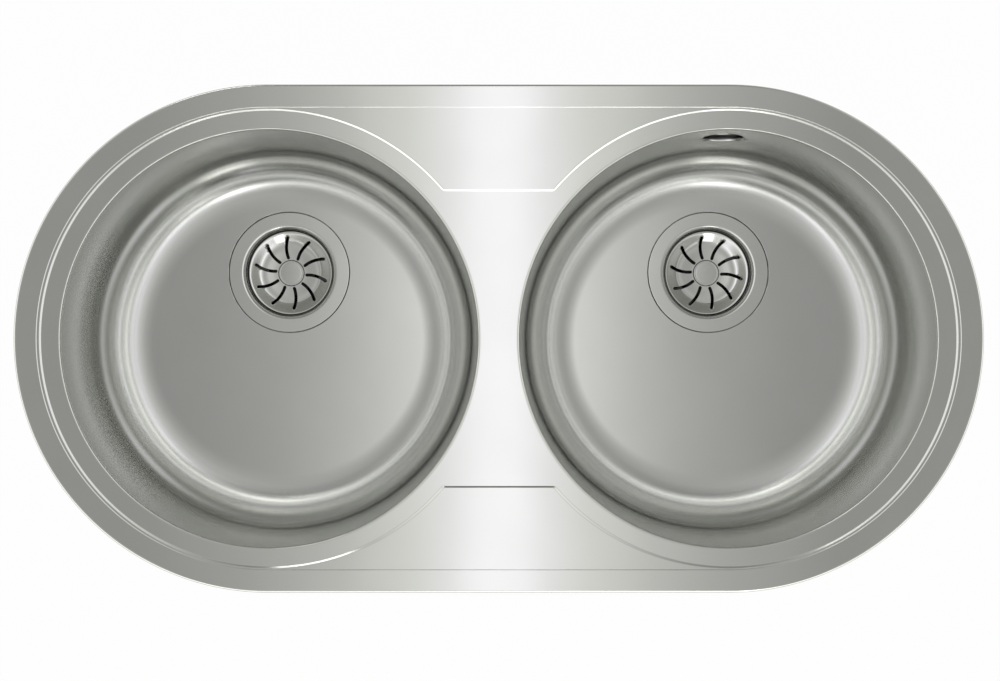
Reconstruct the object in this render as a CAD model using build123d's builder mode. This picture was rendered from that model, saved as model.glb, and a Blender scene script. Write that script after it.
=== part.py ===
"""Double bowl inset kitchen sink, in stainless steel, with two basket strainer wastes.

The deck is one pressing in the plan of a stadium, with a flat outer band, two tap
ledges one step lower and a wet area one step lower again round the bowls. Two deep
drawn round bowls are welded to its openings. Each bowl has a lift-out strainer basket
in a steel cup, clamped to a plastic waste body under the bowl. The right bowl has an
overflow, piped to its waste body by a ribbed hose. Eight screw clips hold the sink.

Millimetres. The origin is the centre of the worktop cut-out, on the worktop's top
face. +X is to the right, +Y to the back and +Z up.
"""

import os
from math import atan2, cos, degrees, radians, sin, tan

from build123d import *

# ---------------------------------------------------------------- deck
side_margin = 39.0  # bowl's opening to the deck's front and back edges
end_margin = 40.0  # bowl's opening to the deck's end
deck_sheet = 0.8
rim_height = 5.0  # top of the outer band above the worktop
rim_edge_radius = 2.5
band_width = 20.0  # flat outer band
ledge_drop = 0.8  # band down to the tap ledges
ledge_slope_width = 0.6
well_margin = 0.2  # ledge left between its own slope and the wet area's slope
well_drop = 1.7  # tap ledges down to the wet area
well_slope_width = 3.4
bridge_width = 259.0  # wet area between the two bowls, from front ledge to back ledge
bridge_corner_radius = 2.0

# ---------------------------------------------------------------- bowls
bowl_radius = 181.0
bowl_gap = 36.0  # between the two openings
bowl_depth = 165.0  # below the outer band
bowl_sheet = 0.8
wall_taper = 3.9  # degrees
floor_inset = 54.0  # opening's edge in to where the flat floor ends
foot_bend_radius = 38.0  # lower of the wall's two bends
foot_bend_angle = 45.0  # degrees; the upper bend turns the rest of the way to the wall
collar_depth = 5.0  # deck turned down into the opening
collar_bend_radius = 2.5

# ---------------------------------------------------------------- strainer cup and its seals
drain_offset = 64.5  # behind the bowl's centre
drain_hole_radius = 45.0
flange_radius = 57.2
flange_clearance = 0.3
steel_sheet = 0.8
flange_gasket_thickness = 1.7
flange_gasket_width = 10.0
cup_radius = 41.2
seat_depth = 11.0  # basket seat below the flange
seat_width = 2.5
cup_depth = 40.0
cup_mouth_radius = 2.6
cup_corner_bevel = 3.0
cup_hole_count = 4
cup_hole_radius = 4.8
cup_hole_circle = 15.0
waste_gasket_thickness = 2.0
waste_gasket_width = 10.0

# ---------------------------------------------------------------- waste body, screw and insert
waste_wall = 3.0
waste_flange_radius = 57.0
waste_flange_thickness = 4.0
waste_cup_clearance = 2.3
waste_cone_height = 19.0
outlet_radius = 23.9  # G 1 1/2 male thread
outlet_wall = 3.9
outlet_length = 23.0
boss_radius = 10.5
boss_rib_thickness = 3.0
boss_rib_depth = 8.0
boss_rib_count = 3
clamp_screw_radius = 5.0
clamp_screw_length = 17.0  # below the cup
clamp_head_radius = 8.2
clamp_head_height = 3.7
catch_bore_radius = 3.0
catch_bore_depth = 8.0
driver_slot_width = 2.0
driver_slot_depth = 1.4
insert_radius = 7.5
insert_length = 16.0
insert_cover = 2.0  # plastic above the insert
thread_clearance = 0.05

# ---------------------------------------------------------------- strainer basket
basket_clearance = 0.9  # lip to cup wall
basket_lip_width = 3.4
basket_dish_depth = 7.8
basket_dish_bulge = 2.0  # how far the dish sags below a straight cone
knob_radius = 12.0
knob_height = 1.8
knob_bevel = 0.7
rivet_cover = 0.8  # cap left above the stem's rivet
slot_count = 10
slot_width = 2.0
slot_inner_radius = 14.9
slot_outer_radius = 33.8
slot_sweep = 6.0  # degrees that a slot's outer end trails behind its root
slot_bow = 1.65  # slot's arc height over its chord
slot_phases = {"left": 101.0, "right": 104.0}  # as the baskets lie in their cups
stem_radius = 5.0
stem_rivet_radius = 3.0
stopper_radius = 24.0
stopper_thickness = 4.0
stopper_gap = 0.2  # stopper above the cup's floor
carrier_thickness = 3.0
carrier_inset = 1.5
pin_radius = 2.4
pin_length = 7.0
catch_ring_height = 1.2
catch_ring_groove = 0.6
catch_ring_clearance = 0.15
catch_ring_split = 0.8
head_clearance = 0.8  # stopper round the clamping screw's head

# ---------------------------------------------------------------- overflow
overflow_z = -38.0
overflow_recess_radius = 18.0
overflow_recess_depth = 5.0
overflow_hole_radius = 14.0
rosette_clearance = 0.4
rosette_sheet = 1.0
rosette_sink = 2.5
rosette_hole_count = 6
rosette_hole_radius = 2.5
rosette_hole_circle = 7.6
overflow_screw_radius = 2.4
overflow_screw_head = 4.2
overflow_head_height = 1.6
overflow_head_bevel = 0.6
screw_slot_width = 1.0
overflow_screw_length = 13.0
overflow_gasket_thickness = 2.0
head_radius = 20.0
head_depth = 18.0
head_wall = 3.0
head_bevel = 2.0
head_boss_radius = 4.6
gasket_overlap = 1.0  # gasket wider than the head's wall
spigot_radius = 8.9
spigot_wall = 1.6
spigot_length = 16.0  # below the head

# ---------------------------------------------------------------- overflow hose
hose_bore_radius = 9.0
hose_cuff_radius = 11.4
hose_root_radius = 10.2
hose_crest_radius = 12.2
hose_bend_radius = 45.0
hose_overlap = 10.0  # cuff pushed over each spigot
hose_cuff_length = 24.0
hose_rib_count = 14
inlet_drop = 30.0  # overflow inlet below the bowl's floor
inlet_reach = 62.0  # overflow inlet's end from the drain's axis
band_clip_width = 7.0
band_clip_sheet = 0.8
band_ear_length = 7.0
band_ear_gap = 2.0

# ---------------------------------------------------------------- underside: seal and pads
cutout_inset = 10.0  # worktop cut-out inside the deck's edge
seal_width = 5.5
pad_length = 140.0
pad_width = 70.0
pad_thickness = 2.0
pad_corner_radius = 8.0
pad_offset = -50.0

# ---------------------------------------------------------------- fixing clips
worktop_thickness = 30.0
clip_straight_x = 115.0  # clips on the front and back edges
clip_end_angle = 42.0  # degrees, clips on the round ends
lug_sheet = 1.5
lug_width = 18.0
lug_weld_width = 7.5
lug_drop = 16.0  # lower flange below the worktop's face
lug_shelf = 14.0
lug_edge_gap = 1.0  # weld flange inside the cut-out
lug_nut_width = 9.0  # square nut welded under the lug's shelf
lug_nut_height = 4.0
clip_screw_inset = 15.0  # screw's axis inside the cut-out
clip_screw_radius = 2.5
clip_screw_top = -1.0
clip_head_radius = 5.0
clip_head_height = 3.0
clip_head_gap = 0.2
claw_sheet = 2.0
claw_width = 16.0
claw_reach = 9.0  # claw beyond the cut-out's edge
claw_height = 9.0
claw_tail = 7.0  # claw behind the screw's axis
claw_hole_clearance = 0.2
claw_tooth_count = 4
claw_tooth_depth = 2.0

# ---------------------------------------------------------------- places worked out from the sizes
bowl_spacing = 2 * bowl_radius + bowl_gap
sink_length = bowl_spacing + 2 * (bowl_radius + end_margin)
sink_width = 2 * (bowl_radius + side_margin)
end_centre_x = (sink_length - sink_width) / 2
end_radius = sink_width / 2
ledge_radius = end_radius - band_width
well_radius = ledge_radius - ledge_slope_width - well_margin
wet_top_z = rim_height - ledge_drop - well_drop
bowl_top_z = wet_top_z - collar_depth
floor_z = rim_height - bowl_depth
floor_radius = bowl_radius - floor_inset
foot_centre_z = floor_z + foot_bend_radius
dimple_depth = steel_sheet + flange_gasket_thickness
dimple_radius = flange_radius + flange_clearance
dimple_under_z = floor_z - dimple_depth - bowl_sheet
seat_z = floor_z - seat_depth
lower_cup_radius = cup_radius - seat_width
cup_floor_z = floor_z - cup_depth
cup_under_z = cup_floor_z - steel_sheet
waste_top_z = dimple_under_z - waste_gasket_thickness
waste_bore_radius = cup_radius + steel_sheet + waste_cup_clearance
waste_outer_radius = waste_bore_radius + waste_wall
cone_top_z = cup_under_z - waste_wall
cone_foot_z = cone_top_z - waste_cone_height
outlet_end_z = cone_foot_z - outlet_length
insert_top_z = cup_under_z - insert_cover
clamp_head_top_z = cup_floor_z + clamp_head_height
dish_top_z = seat_z + steel_sheet
dish_floor_z = dish_top_z - basket_dish_depth
stopper_foot_z = cup_floor_z + stopper_gap
stopper_top_z = stopper_foot_z + stopper_thickness
carrier_top_z = stopper_top_z + carrier_thickness
inlet_z = floor_z - inlet_drop
inlet_end_y = drain_offset + inlet_reach
cutout_radius = end_radius - cutout_inset
claw_foot_z = -worktop_thickness - claw_height
bowl_places = {"left": -bowl_spacing / 2, "right": bowl_spacing / 2}


def save(part, name):
    """Names a finished piece and writes it to its own file."""
    part.label = name
    export_step(part, f"parts/{name}.step")


def upright(x, y):
    """The plane of a turned profile: its first axis is the radius and its second is Z."""
    return Plane(origin=(x, y, 0), x_dir=(1, 0, 0), z_dir=(0, -1, 0))


def turning_axis(x, y):
    return Axis((x, y, 0), (0, 0, 1))


def turned(x, y, *corners):
    """A solid turned about the vertical at (x, y) from an outline of (radius, z) corners."""
    with BuildPart() as body:
        with BuildSketch(upright(x, y)):
            with BuildLine():
                Polyline(*corners, close=True)
            make_face()
        revolve(axis=turning_axis(x, y))
    return body.part


def tube(x, y, bore, radius, foot_z, top_z):
    """A plain ring or sleeve standing at (x, y)."""
    return turned(x, y, (bore, foot_z), (radius, foot_z), (radius, top_z), (bore, top_z))


# ---------------------------------------------------------------- deck
def deck_form(inset, drop, base_z):
    """The space under the deck's top face, or under its sheet when lowered and drawn in."""
    top_z = rim_height - drop
    ledge_taper = degrees(atan2(ledge_slope_width, ledge_drop))
    well_taper = degrees(atan2(well_slope_width, well_drop))
    with BuildPart() as form:
        with BuildSketch(Plane.XY.offset(base_z)):
            SlotOverall(sink_length - 2 * inset, sink_width - 2 * inset)
        extrude(amount=top_z - base_z)
        top_edges = form.edges().group_by(Axis.Z)[-1]
        if inset:
            chamfer(top_edges, rim_edge_radius - inset)
        else:
            fillet(top_edges, rim_edge_radius)
        with BuildSketch(Plane.XY.offset(top_z)):
            SlotOverall(sink_length - 2 * band_width, sink_width - 2 * band_width)
        extrude(amount=-ledge_drop, taper=ledge_taper, mode=Mode.SUBTRACT)
        with BuildSketch(Plane.XY.offset(top_z - ledge_drop)) as wet_area:
            with Locations(*((x, 0) for x in bowl_places.values())):
                Circle(well_radius)
            Rectangle(bowl_spacing, bridge_width)
            fillet(wet_area.vertices().group_by(SortBy.DISTANCE)[0], bridge_corner_radius)
        extrude(amount=-well_drop, taper=well_taper, mode=Mode.SUBTRACT)
    return form.part


def collar(x):
    """Rolled edge of a bowl opening, turned down to meet the bowl."""
    bend_radius = bowl_radius + collar_bend_radius
    bend_z = wet_top_z - collar_bend_radius
    outer = bowl_radius + deck_sheet
    with BuildPart() as ring:
        with BuildSketch(upright(x, 0)):
            with BuildLine():
                roll = RadiusArc((bend_radius, wet_top_z), (bowl_radius, bend_z), -collar_bend_radius)
                lower = (bowl_radius, bowl_top_z), (outer, bowl_top_z), (outer, bend_z)
                Polyline(roll @ 1, *lower, (bend_radius, wet_top_z - deck_sheet), roll @ 0)
            make_face()
        revolve(axis=turning_axis(x, 0))
    return ring.part


with BuildPart() as deck:
    add(deck_form(0, 0, 0))
    add(deck_form(deck_sheet, deck_sheet, -deck_sheet), mode=Mode.SUBTRACT)
    with BuildSketch():
        with Locations(*((x, 0) for x in bowl_places.values())):
            Circle(bowl_radius + collar_bend_radius)
    extrude(amount=rim_height, mode=Mode.SUBTRACT)
    for bowl_x in bowl_places.values():
        add(collar(bowl_x))


# ---------------------------------------------------------------- bowls
def wall_radius(z):
    """Inside radius of a bowl's tapered wall at a height."""
    return bowl_radius - (bowl_top_z - z) * tan(radians(wall_taper))


def haunch_radius():
    """Radius of the upper bend that runs on from the lower one and meets the wall smoothly."""
    turn, taper = radians(foot_bend_angle), radians(wall_taper)
    start_x = floor_radius + foot_bend_radius * sin(turn)
    start_z = foot_centre_z - foot_bend_radius * cos(turn)
    room = wall_radius(start_z) - start_x
    return room / (cos(taper) - sin(turn) - (cos(turn) - sin(taper)) * tan(taper))


def recess_plane(x, outset):
    """The overflow recess's back, facing the inside of the bowl."""
    back_y = wall_radius(overflow_z) + overflow_recess_depth + outset
    return Plane(origin=(x, back_y, overflow_z), x_dir=(1, 0, 0), z_dir=(0, -1, 0))


def bowl_form(x, outset, has_overflow):
    """The space inside a bowl, or its outside with the sheet as outset."""
    foot_z = floor_z - outset
    haunch_turn = 90 - foot_bend_angle - wall_taper
    with BuildPart() as form:
        with BuildSketch(upright(x, 0)):
            with BuildLine():
                level = Line((0, foot_z), (floor_radius, foot_z))
                foot = JernArc(level @ 1, level % 1, foot_bend_radius + outset, foot_bend_angle)
                haunch = JernArc(foot @ 1, foot % 1, haunch_radius() + outset, haunch_turn)
                edge = (bowl_radius + outset, bowl_top_z)
                Polyline(haunch @ 1, edge, (0, bowl_top_z), level @ 0)
            make_face()
        revolve(axis=turning_axis(x, 0))
        with BuildSketch(Plane.XY.offset(foot_z - dimple_depth)):
            with Locations((x, drain_offset)):
                Circle(dimple_radius + outset)
        extrude(amount=2 * dimple_depth)
        if has_overflow:
            with BuildSketch(recess_plane(x, outset)):
                Circle(overflow_recess_radius + outset)
            extrude(amount=2 * overflow_recess_depth)
    return form.part


def bowl(x, has_overflow):
    with BuildPart() as body:
        add(bowl_form(x, bowl_sheet, has_overflow))
        add(bowl_form(x, 0, has_overflow), mode=Mode.SUBTRACT)
        with BuildSketch(Plane.XY.offset(floor_z)):
            with Locations((x, drain_offset)):
                Circle(drain_hole_radius)
        extrude(amount=-2 * dimple_depth, mode=Mode.SUBTRACT)
        if has_overflow:
            with BuildSketch(recess_plane(x, 0)):
                Circle(overflow_hole_radius)
            extrude(amount=-2 * bowl_sheet, mode=Mode.SUBTRACT)
    return body.part


# ---------------------------------------------------------------- strainer cup and its seals
def strainer_cup(x):
    """Steel cup: flange on the bowl's floor, rolled mouth, basket seat and drain holes."""
    mouth = (cup_radius, floor_z)
    floor_corner = (lower_cup_radius, cup_floor_z)
    with BuildPart() as cup:
        with BuildSketch(upright(x, drain_offset)) as section:
            with BuildLine():
                seat = (cup_radius, seat_z), (lower_cup_radius, seat_z)
                Polyline((flange_radius, floor_z), mouth, *seat, floor_corner, (0, cup_floor_z))
                offset(amount=steel_sheet, side=Side.LEFT, kind=Kind.INTERSECTION)
            make_face()
            roll, under_roll = section.vertices().sort_by_distance(mouth)[:2]
            fillet(roll, cup_mouth_radius)
            chamfer(under_roll, cup_mouth_radius - steel_sheet)
            chamfer(section.vertices().sort_by_distance(floor_corner)[:2], cup_corner_bevel)
        revolve(axis=turning_axis(x, drain_offset))
        with BuildSketch(Plane.XY.offset(cup_under_z)):
            with Locations((x, drain_offset)):
                Circle(clamp_screw_radius + thread_clearance)
                with PolarLocations(cup_hole_circle, cup_hole_count):
                    Circle(cup_hole_radius)
        extrude(amount=2 * steel_sheet, mode=Mode.SUBTRACT)
    return cup.part


def flange_gasket(x):
    inner = flange_radius - flange_gasket_width
    return tube(x, drain_offset, inner, flange_radius, floor_z - dimple_depth, floor_z - steel_sheet)


def waste_gasket(x):
    inner = waste_flange_radius - waste_gasket_width
    return tube(x, drain_offset, inner, waste_flange_radius, waste_top_z, dimple_under_z)


# ---------------------------------------------------------------- waste body, screw and insert
def waste_form(x, inset, has_inlet):
    """The waste body's outside, or with its wall as inset the space inside it."""
    barrel = waste_outer_radius - inset
    spigot = outlet_radius - (outlet_wall if inset else 0)
    inlet_bore = spigot_radius - (spigot_wall if inset else 0)
    with BuildPart() as form:
        add(
            turned(
                x,
                drain_offset,
                (0, outlet_end_z),
                (spigot, outlet_end_z),
                (spigot, cone_foot_z),
                (barrel, cone_top_z),
                (barrel, waste_top_z),
                (0, waste_top_z),
            )
        )
        if has_inlet:
            with BuildSketch(Plane(origin=(x, inlet_end_y, inlet_z), x_dir=(1, 0, 0), z_dir=(0, -1, 0))):
                Circle(inlet_bore)
            extrude(amount=inlet_reach - lower_cup_radius - waste_cup_clearance - steel_sheet)
    return form.part


def waste_boss(x):
    """Post under the cup that holds the threaded insert, with its ribs to the wall."""
    boss_foot_z = insert_top_z - insert_length
    rib_top_z = cone_top_z
    with BuildPart() as boss:
        with BuildSketch(Plane.XY.offset(boss_foot_z)):
            with Locations((x, drain_offset)):
                Circle(boss_radius)
        extrude(amount=cup_under_z - boss_foot_z)
        with BuildSketch(Plane.XY.offset(rib_top_z)):
            with Locations((x, drain_offset)):
                with PolarLocations(0, boss_rib_count, start_angle=90):
                    Rectangle(waste_outer_radius, boss_rib_thickness, align=(Align.MIN, Align.CENTER))
        extrude(amount=-boss_rib_depth)
        with BuildSketch(Plane.XY.offset(boss_foot_z)):
            with Locations((x, drain_offset)):
                Circle(insert_radius + thread_clearance)
        extrude(amount=insert_length, mode=Mode.SUBTRACT)
        with BuildSketch(Plane.XY.offset(boss_foot_z)):
            with Locations((x, drain_offset)):
                Circle(clamp_screw_radius + thread_clearance)
        extrude(amount=cup_under_z - boss_foot_z, mode=Mode.SUBTRACT)
    return boss.part


def waste_body(x, has_inlet):
    """Moulded funnel under the bowl: clamping flange, barrel, cone and threaded outlet."""
    with BuildPart() as core:
        add(waste_boss(x))
        add(waste_form(x, 0, False), mode=Mode.INTERSECT)
    with BuildPart() as body:
        add(waste_form(x, 0, has_inlet))
        with BuildSketch(Plane.XY.offset(waste_top_z)):
            with Locations((x, drain_offset)):
                Circle(waste_flange_radius)
        extrude(amount=-waste_flange_thickness)
        add(waste_form(x, waste_wall, has_inlet), mode=Mode.SUBTRACT)
        add(core.part)
    return body.part


def strainer_screw(x):
    """Hollow-headed clamping screw; the basket's pin clips into its bore."""
    with BuildPart() as screw:
        add(
            turned(
                x,
                drain_offset,
                (0, cup_under_z - clamp_screw_length),
                (clamp_screw_radius, cup_under_z - clamp_screw_length),
                (clamp_screw_radius, cup_floor_z),
                (clamp_head_radius, cup_floor_z),
                (clamp_head_radius, clamp_head_top_z),
                (0, clamp_head_top_z),
            )
        )
        with BuildSketch(Plane.XY.offset(clamp_head_top_z)):
            with Locations((x, drain_offset)):
                Circle(catch_bore_radius)
        extrude(amount=-catch_bore_depth, mode=Mode.SUBTRACT)
        with BuildSketch(Plane.XY.offset(clamp_head_top_z)):
            with Locations((x, drain_offset)):
                Rectangle(2 * clamp_head_radius, driver_slot_width)
        extrude(amount=-driver_slot_depth, mode=Mode.SUBTRACT)
    return screw.part


def screw_insert(x):
    bore = clamp_screw_radius + thread_clearance
    return tube(x, drain_offset, bore, insert_radius, insert_top_z - insert_length, insert_top_z)


# ---------------------------------------------------------------- strainer basket
def basket_shell(x, phase):
    """Steel dish with a flat lip and curved slots, which hangs on the cup's seat."""
    lip_outer = cup_radius - basket_clearance
    lip_inner = lip_outer - basket_lip_width
    middle = ((lip_inner + knob_radius) / 2, (dish_top_z + dish_floor_z) / 2 - basket_dish_bulge)
    with BuildPart() as shell:
        with BuildSketch(upright(x, drain_offset)):
            with BuildLine():
                lip = (lip_outer, dish_top_z), (lip_inner, dish_top_z)
                Polyline(*lip, middle, (knob_radius, dish_floor_z), (0, dish_floor_z))
                offset(amount=steel_sheet, side=Side.LEFT, kind=Kind.INTERSECTION)
            make_face()
        revolve(axis=turning_axis(x, drain_offset))
        tail = slot_outer_radius * cos(radians(slot_sweep)), -slot_outer_radius * sin(radians(slot_sweep))
        centre_line = SagittaArc((slot_inner_radius, 0), tail, slot_bow, mode=Mode.PRIVATE)
        with BuildSketch(Plane.XY.offset(dish_floor_z - 2 * steel_sheet)):
            with Locations((x, drain_offset)):
                with PolarLocations(0, slot_count, start_angle=phase):
                    SlotArc(centre_line, slot_width)
                Circle(stem_rivet_radius + thread_clearance)
        extrude(amount=basket_dish_depth + 2 * steel_sheet, mode=Mode.SUBTRACT)
    return shell.part


def basket_knob(x):
    """Hub cap over the stem's rivet."""
    cap_top_z = dish_floor_z + knob_height
    with BuildPart() as knob:
        with BuildSketch(Plane.XY.offset(dish_floor_z)):
            with Locations((x, drain_offset)):
                Circle(knob_radius)
        extrude(amount=knob_height)
        chamfer(knob.edges().group_by(Axis.Z)[-1], knob_bevel)
        with BuildSketch(Plane.XY.offset(dish_floor_z)):
            with Locations((x, drain_offset)):
                Circle(stem_rivet_radius + thread_clearance)
        extrude(amount=cap_top_z - dish_floor_z - rivet_cover, mode=Mode.SUBTRACT)
    return knob.part


def basket_stem(x):
    """Post between the dish and the stopper, riveted up through the dish."""
    rivet_top_z = dish_floor_z + knob_height - rivet_cover
    shoulder_z = dish_floor_z - steel_sheet
    return turned(
        x,
        drain_offset,
        (0, carrier_top_z),
        (stem_radius, carrier_top_z),
        (stem_radius, shoulder_z),
        (stem_rivet_radius, shoulder_z),
        (stem_rivet_radius, rivet_top_z),
        (0, rivet_top_z),
    )


def basket_stopper(x):
    """Rubber ring that closes the cup's drain holes when the basket is pushed down."""
    inner = clamp_head_radius + head_clearance
    return tube(x, drain_offset, inner, stopper_radius, stopper_foot_z, stopper_top_z)


def stopper_carrier(x):
    """Plate over the stopper, with the pin that clips into the clamping screw."""
    plate = stopper_radius - carrier_inset
    pin_end_z = stopper_top_z - pin_length
    groove_foot_z = pin_end_z + catch_ring_height
    groove_top_z = groove_foot_z + catch_ring_height + 2 * thread_clearance
    groove = pin_radius - catch_ring_groove
    return turned(
        x,
        drain_offset,
        (0, pin_end_z),
        (pin_radius, pin_end_z),
        (pin_radius, groove_foot_z),
        (groove, groove_foot_z),
        (groove, groove_top_z),
        (pin_radius, groove_top_z),
        (pin_radius, stopper_top_z),
        (plate, stopper_top_z),
        (plate, carrier_top_z),
        (0, carrier_top_z),
    )


def basket_catch(x):
    """Split spring ring in the pin's groove, which holds the basket in either position."""
    foot_z = stopper_top_z - pin_length + catch_ring_height + thread_clearance
    inner = pin_radius - catch_ring_groove + thread_clearance
    outer = catch_bore_radius - catch_ring_clearance
    with BuildPart() as ring:
        add(tube(x, drain_offset, inner, outer, foot_z, foot_z + catch_ring_height))
        with BuildSketch(Plane.XY.offset(foot_z)):
            with Locations((x, drain_offset)):
                Rectangle(outer, catch_ring_split, align=(Align.MIN, Align.CENTER))
        extrude(amount=catch_ring_height, mode=Mode.SUBTRACT)
    return ring.part


# ---------------------------------------------------------------- overflow
overflow_x = bowl_places["right"]
recess_back_y = wall_radius(overflow_z) + overflow_recess_depth
gasket_y = recess_back_y + bowl_sheet
head_y = gasket_y + overflow_gasket_thickness
spigot_y = head_y + head_depth / 2


def facing_back(y):
    """A plane square to the overflow's axis, whose extrusions run to the back."""
    return Plane(origin=(overflow_x, y, overflow_z), x_dir=(-1, 0, 0), z_dir=(0, 1, 0))


with BuildPart() as overflow_rosette:
    rosette_radius = overflow_recess_radius - rosette_clearance
    dish_radius = overflow_hole_radius - rosette_clearance
    with BuildSketch(facing_back(recess_back_y - rosette_sheet)):
        Circle(rosette_radius)
    extrude(amount=rosette_sheet)
    with BuildSketch(facing_back(recess_back_y)):
        Circle(dish_radius)
    extrude(amount=rosette_sink)
    with BuildSketch(facing_back(recess_back_y - rosette_sheet)):
        Circle(dish_radius - rosette_sheet)
    extrude(amount=rosette_sink, mode=Mode.SUBTRACT)
    with BuildSketch(facing_back(recess_back_y)):
        Circle(overflow_screw_radius + thread_clearance)
        with PolarLocations(rosette_hole_circle, rosette_hole_count, start_angle=90):
            Circle(rosette_hole_radius)
    extrude(amount=rosette_sink, mode=Mode.SUBTRACT)

with BuildPart() as overflow_gasket:
    with BuildSketch(facing_back(gasket_y)):
        Circle(head_radius)
        Circle(head_radius - head_wall - gasket_overlap, mode=Mode.SUBTRACT)
    extrude(amount=overflow_gasket_thickness)

with BuildPart() as overflow_head:
    with BuildSketch(facing_back(head_y)):
        Circle(head_radius)
    extrude(amount=head_depth)
    chamfer(overflow_head.edges().group_by(Axis.Y)[-1], head_bevel)
    with BuildSketch(Plane(origin=(overflow_x, spigot_y, overflow_z), x_dir=(1, 0, 0), z_dir=(0, 0, -1))):
        Circle(spigot_radius)
    extrude(amount=head_radius + spigot_length)
    with BuildSketch(facing_back(head_y)):
        Circle(head_radius - head_wall)
    extrude(amount=head_depth - head_wall, mode=Mode.SUBTRACT)
    with BuildSketch(Plane(origin=(overflow_x, spigot_y, overflow_z), x_dir=(1, 0, 0), z_dir=(0, 0, -1))):
        Circle(spigot_radius - spigot_wall)
    extrude(amount=head_radius + spigot_length, mode=Mode.SUBTRACT)
    with BuildSketch(facing_back(recess_back_y + rosette_sink)):
        Circle(head_boss_radius)
    extrude(amount=head_y + head_depth - head_wall - recess_back_y - rosette_sink)
    with BuildSketch(facing_back(recess_back_y + rosette_sink)):
        Circle(overflow_screw_radius + thread_clearance)
    extrude(amount=overflow_screw_length, mode=Mode.SUBTRACT)

with BuildPart() as overflow_screw:
    dish_face_y = recess_back_y + rosette_sink - rosette_sheet
    with BuildSketch(facing_back(dish_face_y - overflow_head_height)):
        Circle(overflow_screw_head)
    extrude(amount=overflow_head_height)
    chamfer(overflow_screw.edges().group_by(Axis.Y)[0], overflow_head_bevel)
    with BuildSketch(facing_back(dish_face_y)):
        Circle(overflow_screw_radius)
    extrude(amount=overflow_screw_length)
    with BuildSketch(facing_back(dish_face_y - overflow_head_height)):
        Rectangle(2 * overflow_screw_head, screw_slot_width)
    extrude(amount=overflow_head_height / 2, mode=Mode.SUBTRACT)


# ---------------------------------------------------------------- overflow hose
hose_top_z = overflow_z - head_radius - spigot_length + hose_overlap
hose_end_y = inlet_end_y - hose_overlap
down_run = hose_top_z - (inlet_z + hose_bend_radius)
bend_run = hose_bend_radius * radians(90)
back_run = spigot_y - hose_bend_radius - hose_end_y
hose_length = down_run + bend_run + back_run


def hose_station(distance):
    """The plane square to the hose at a distance along it; its X axis stays the sink's."""
    bend_y = spigot_y - hose_bend_radius
    bend_z = inlet_z + hose_bend_radius
    if distance <= down_run:
        place = (overflow_x, spigot_y, hose_top_z - distance)
        return Plane(origin=place, x_dir=(1, 0, 0), z_dir=(0, 0, -1))
    if distance >= down_run + bend_run:
        rest = distance - down_run - bend_run
        place = (overflow_x, bend_y - rest, inlet_z)
        return Plane(origin=place, x_dir=(1, 0, 0), z_dir=(0, -1, 0))
    turn = (distance - down_run) / hose_bend_radius
    place = (overflow_x, bend_y + hose_bend_radius * cos(turn), bend_z - hose_bend_radius * sin(turn))
    return Plane(origin=place, x_dir=(1, 0, 0), z_dir=(0, -sin(turn), -cos(turn)))


def hose_circles():
    """Distance and radius of each circle of the hose's outside: 4 to a rib."""
    ribbed = hose_length - 2 * hose_cuff_length
    pitch = ribbed / hose_rib_count
    circles = [(0, hose_cuff_radius), (hose_cuff_length - pitch / 4, hose_cuff_radius)]
    for rib in range(hose_rib_count):
        start = hose_cuff_length + rib * pitch
        circles.append((start, hose_root_radius))
        circles.append((start + pitch / 4, hose_crest_radius))
        circles.append((start + pitch / 2, hose_crest_radius))
        circles.append((start + pitch * 3 / 4, hose_root_radius))
    circles.append((hose_length - hose_cuff_length + pitch / 4, hose_cuff_radius))
    circles.append((hose_length, hose_cuff_radius))
    return circles


with BuildPart() as overflow_hose:
    for distance, radius in hose_circles():
        with BuildSketch(hose_station(distance)):
            Circle(radius)
    loft(ruled=True)
    with BuildLine():
        top = (overflow_x, spigot_y, hose_top_z)
        corner = (overflow_x, spigot_y, inlet_z)
        end = (overflow_x, hose_end_y, inlet_z)
        FilletPolyline(top, corner, end, radius=hose_bend_radius)
    with BuildSketch(hose_station(0)):
        Circle(hose_bore_radius)
    sweep(mode=Mode.SUBTRACT)


def band_clip(distance):
    """Spring band round a hose cuff, with its two pinch ears."""
    inner = hose_cuff_radius + thread_clearance
    ear_x = inner + band_ear_length / 2
    with BuildPart() as clip:
        with BuildSketch(hose_station(distance - band_clip_width / 2)):
            Circle(inner + band_clip_sheet)
            with Locations((ear_x, band_ear_gap), (ear_x, -band_ear_gap)):
                Rectangle(band_ear_length, band_clip_sheet)
            Circle(inner, mode=Mode.SUBTRACT)
        extrude(amount=band_clip_width)
    return clip.part


with BuildPart() as hose_clips:
    add(band_clip(hose_overlap - band_clip_width / 2 - thread_clearance))
    add(band_clip(hose_length - hose_overlap + band_clip_width / 2 + thread_clearance))


# ---------------------------------------------------------------- underside: seal and pads
with BuildPart() as rim_seal:
    seal_outer = rim_edge_radius
    seal_inner = seal_outer + seal_width
    with BuildSketch():
        SlotOverall(sink_length - 2 * seal_outer, sink_width - 2 * seal_outer)
        SlotOverall(sink_length - 2 * seal_inner, sink_width - 2 * seal_inner, mode=Mode.SUBTRACT)
    extrude(amount=rim_height - deck_sheet)


def sound_pad(x):
    """Damping pad glued under a bowl's floor, in front of the drain."""
    with BuildPart() as pad:
        with BuildSketch(Plane.XY.offset(floor_z - bowl_sheet)):
            with Locations((x, pad_offset)):
                RectangleRounded(pad_length, pad_width, pad_corner_radius)
        extrude(amount=-pad_thickness)
    return pad.part


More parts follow.
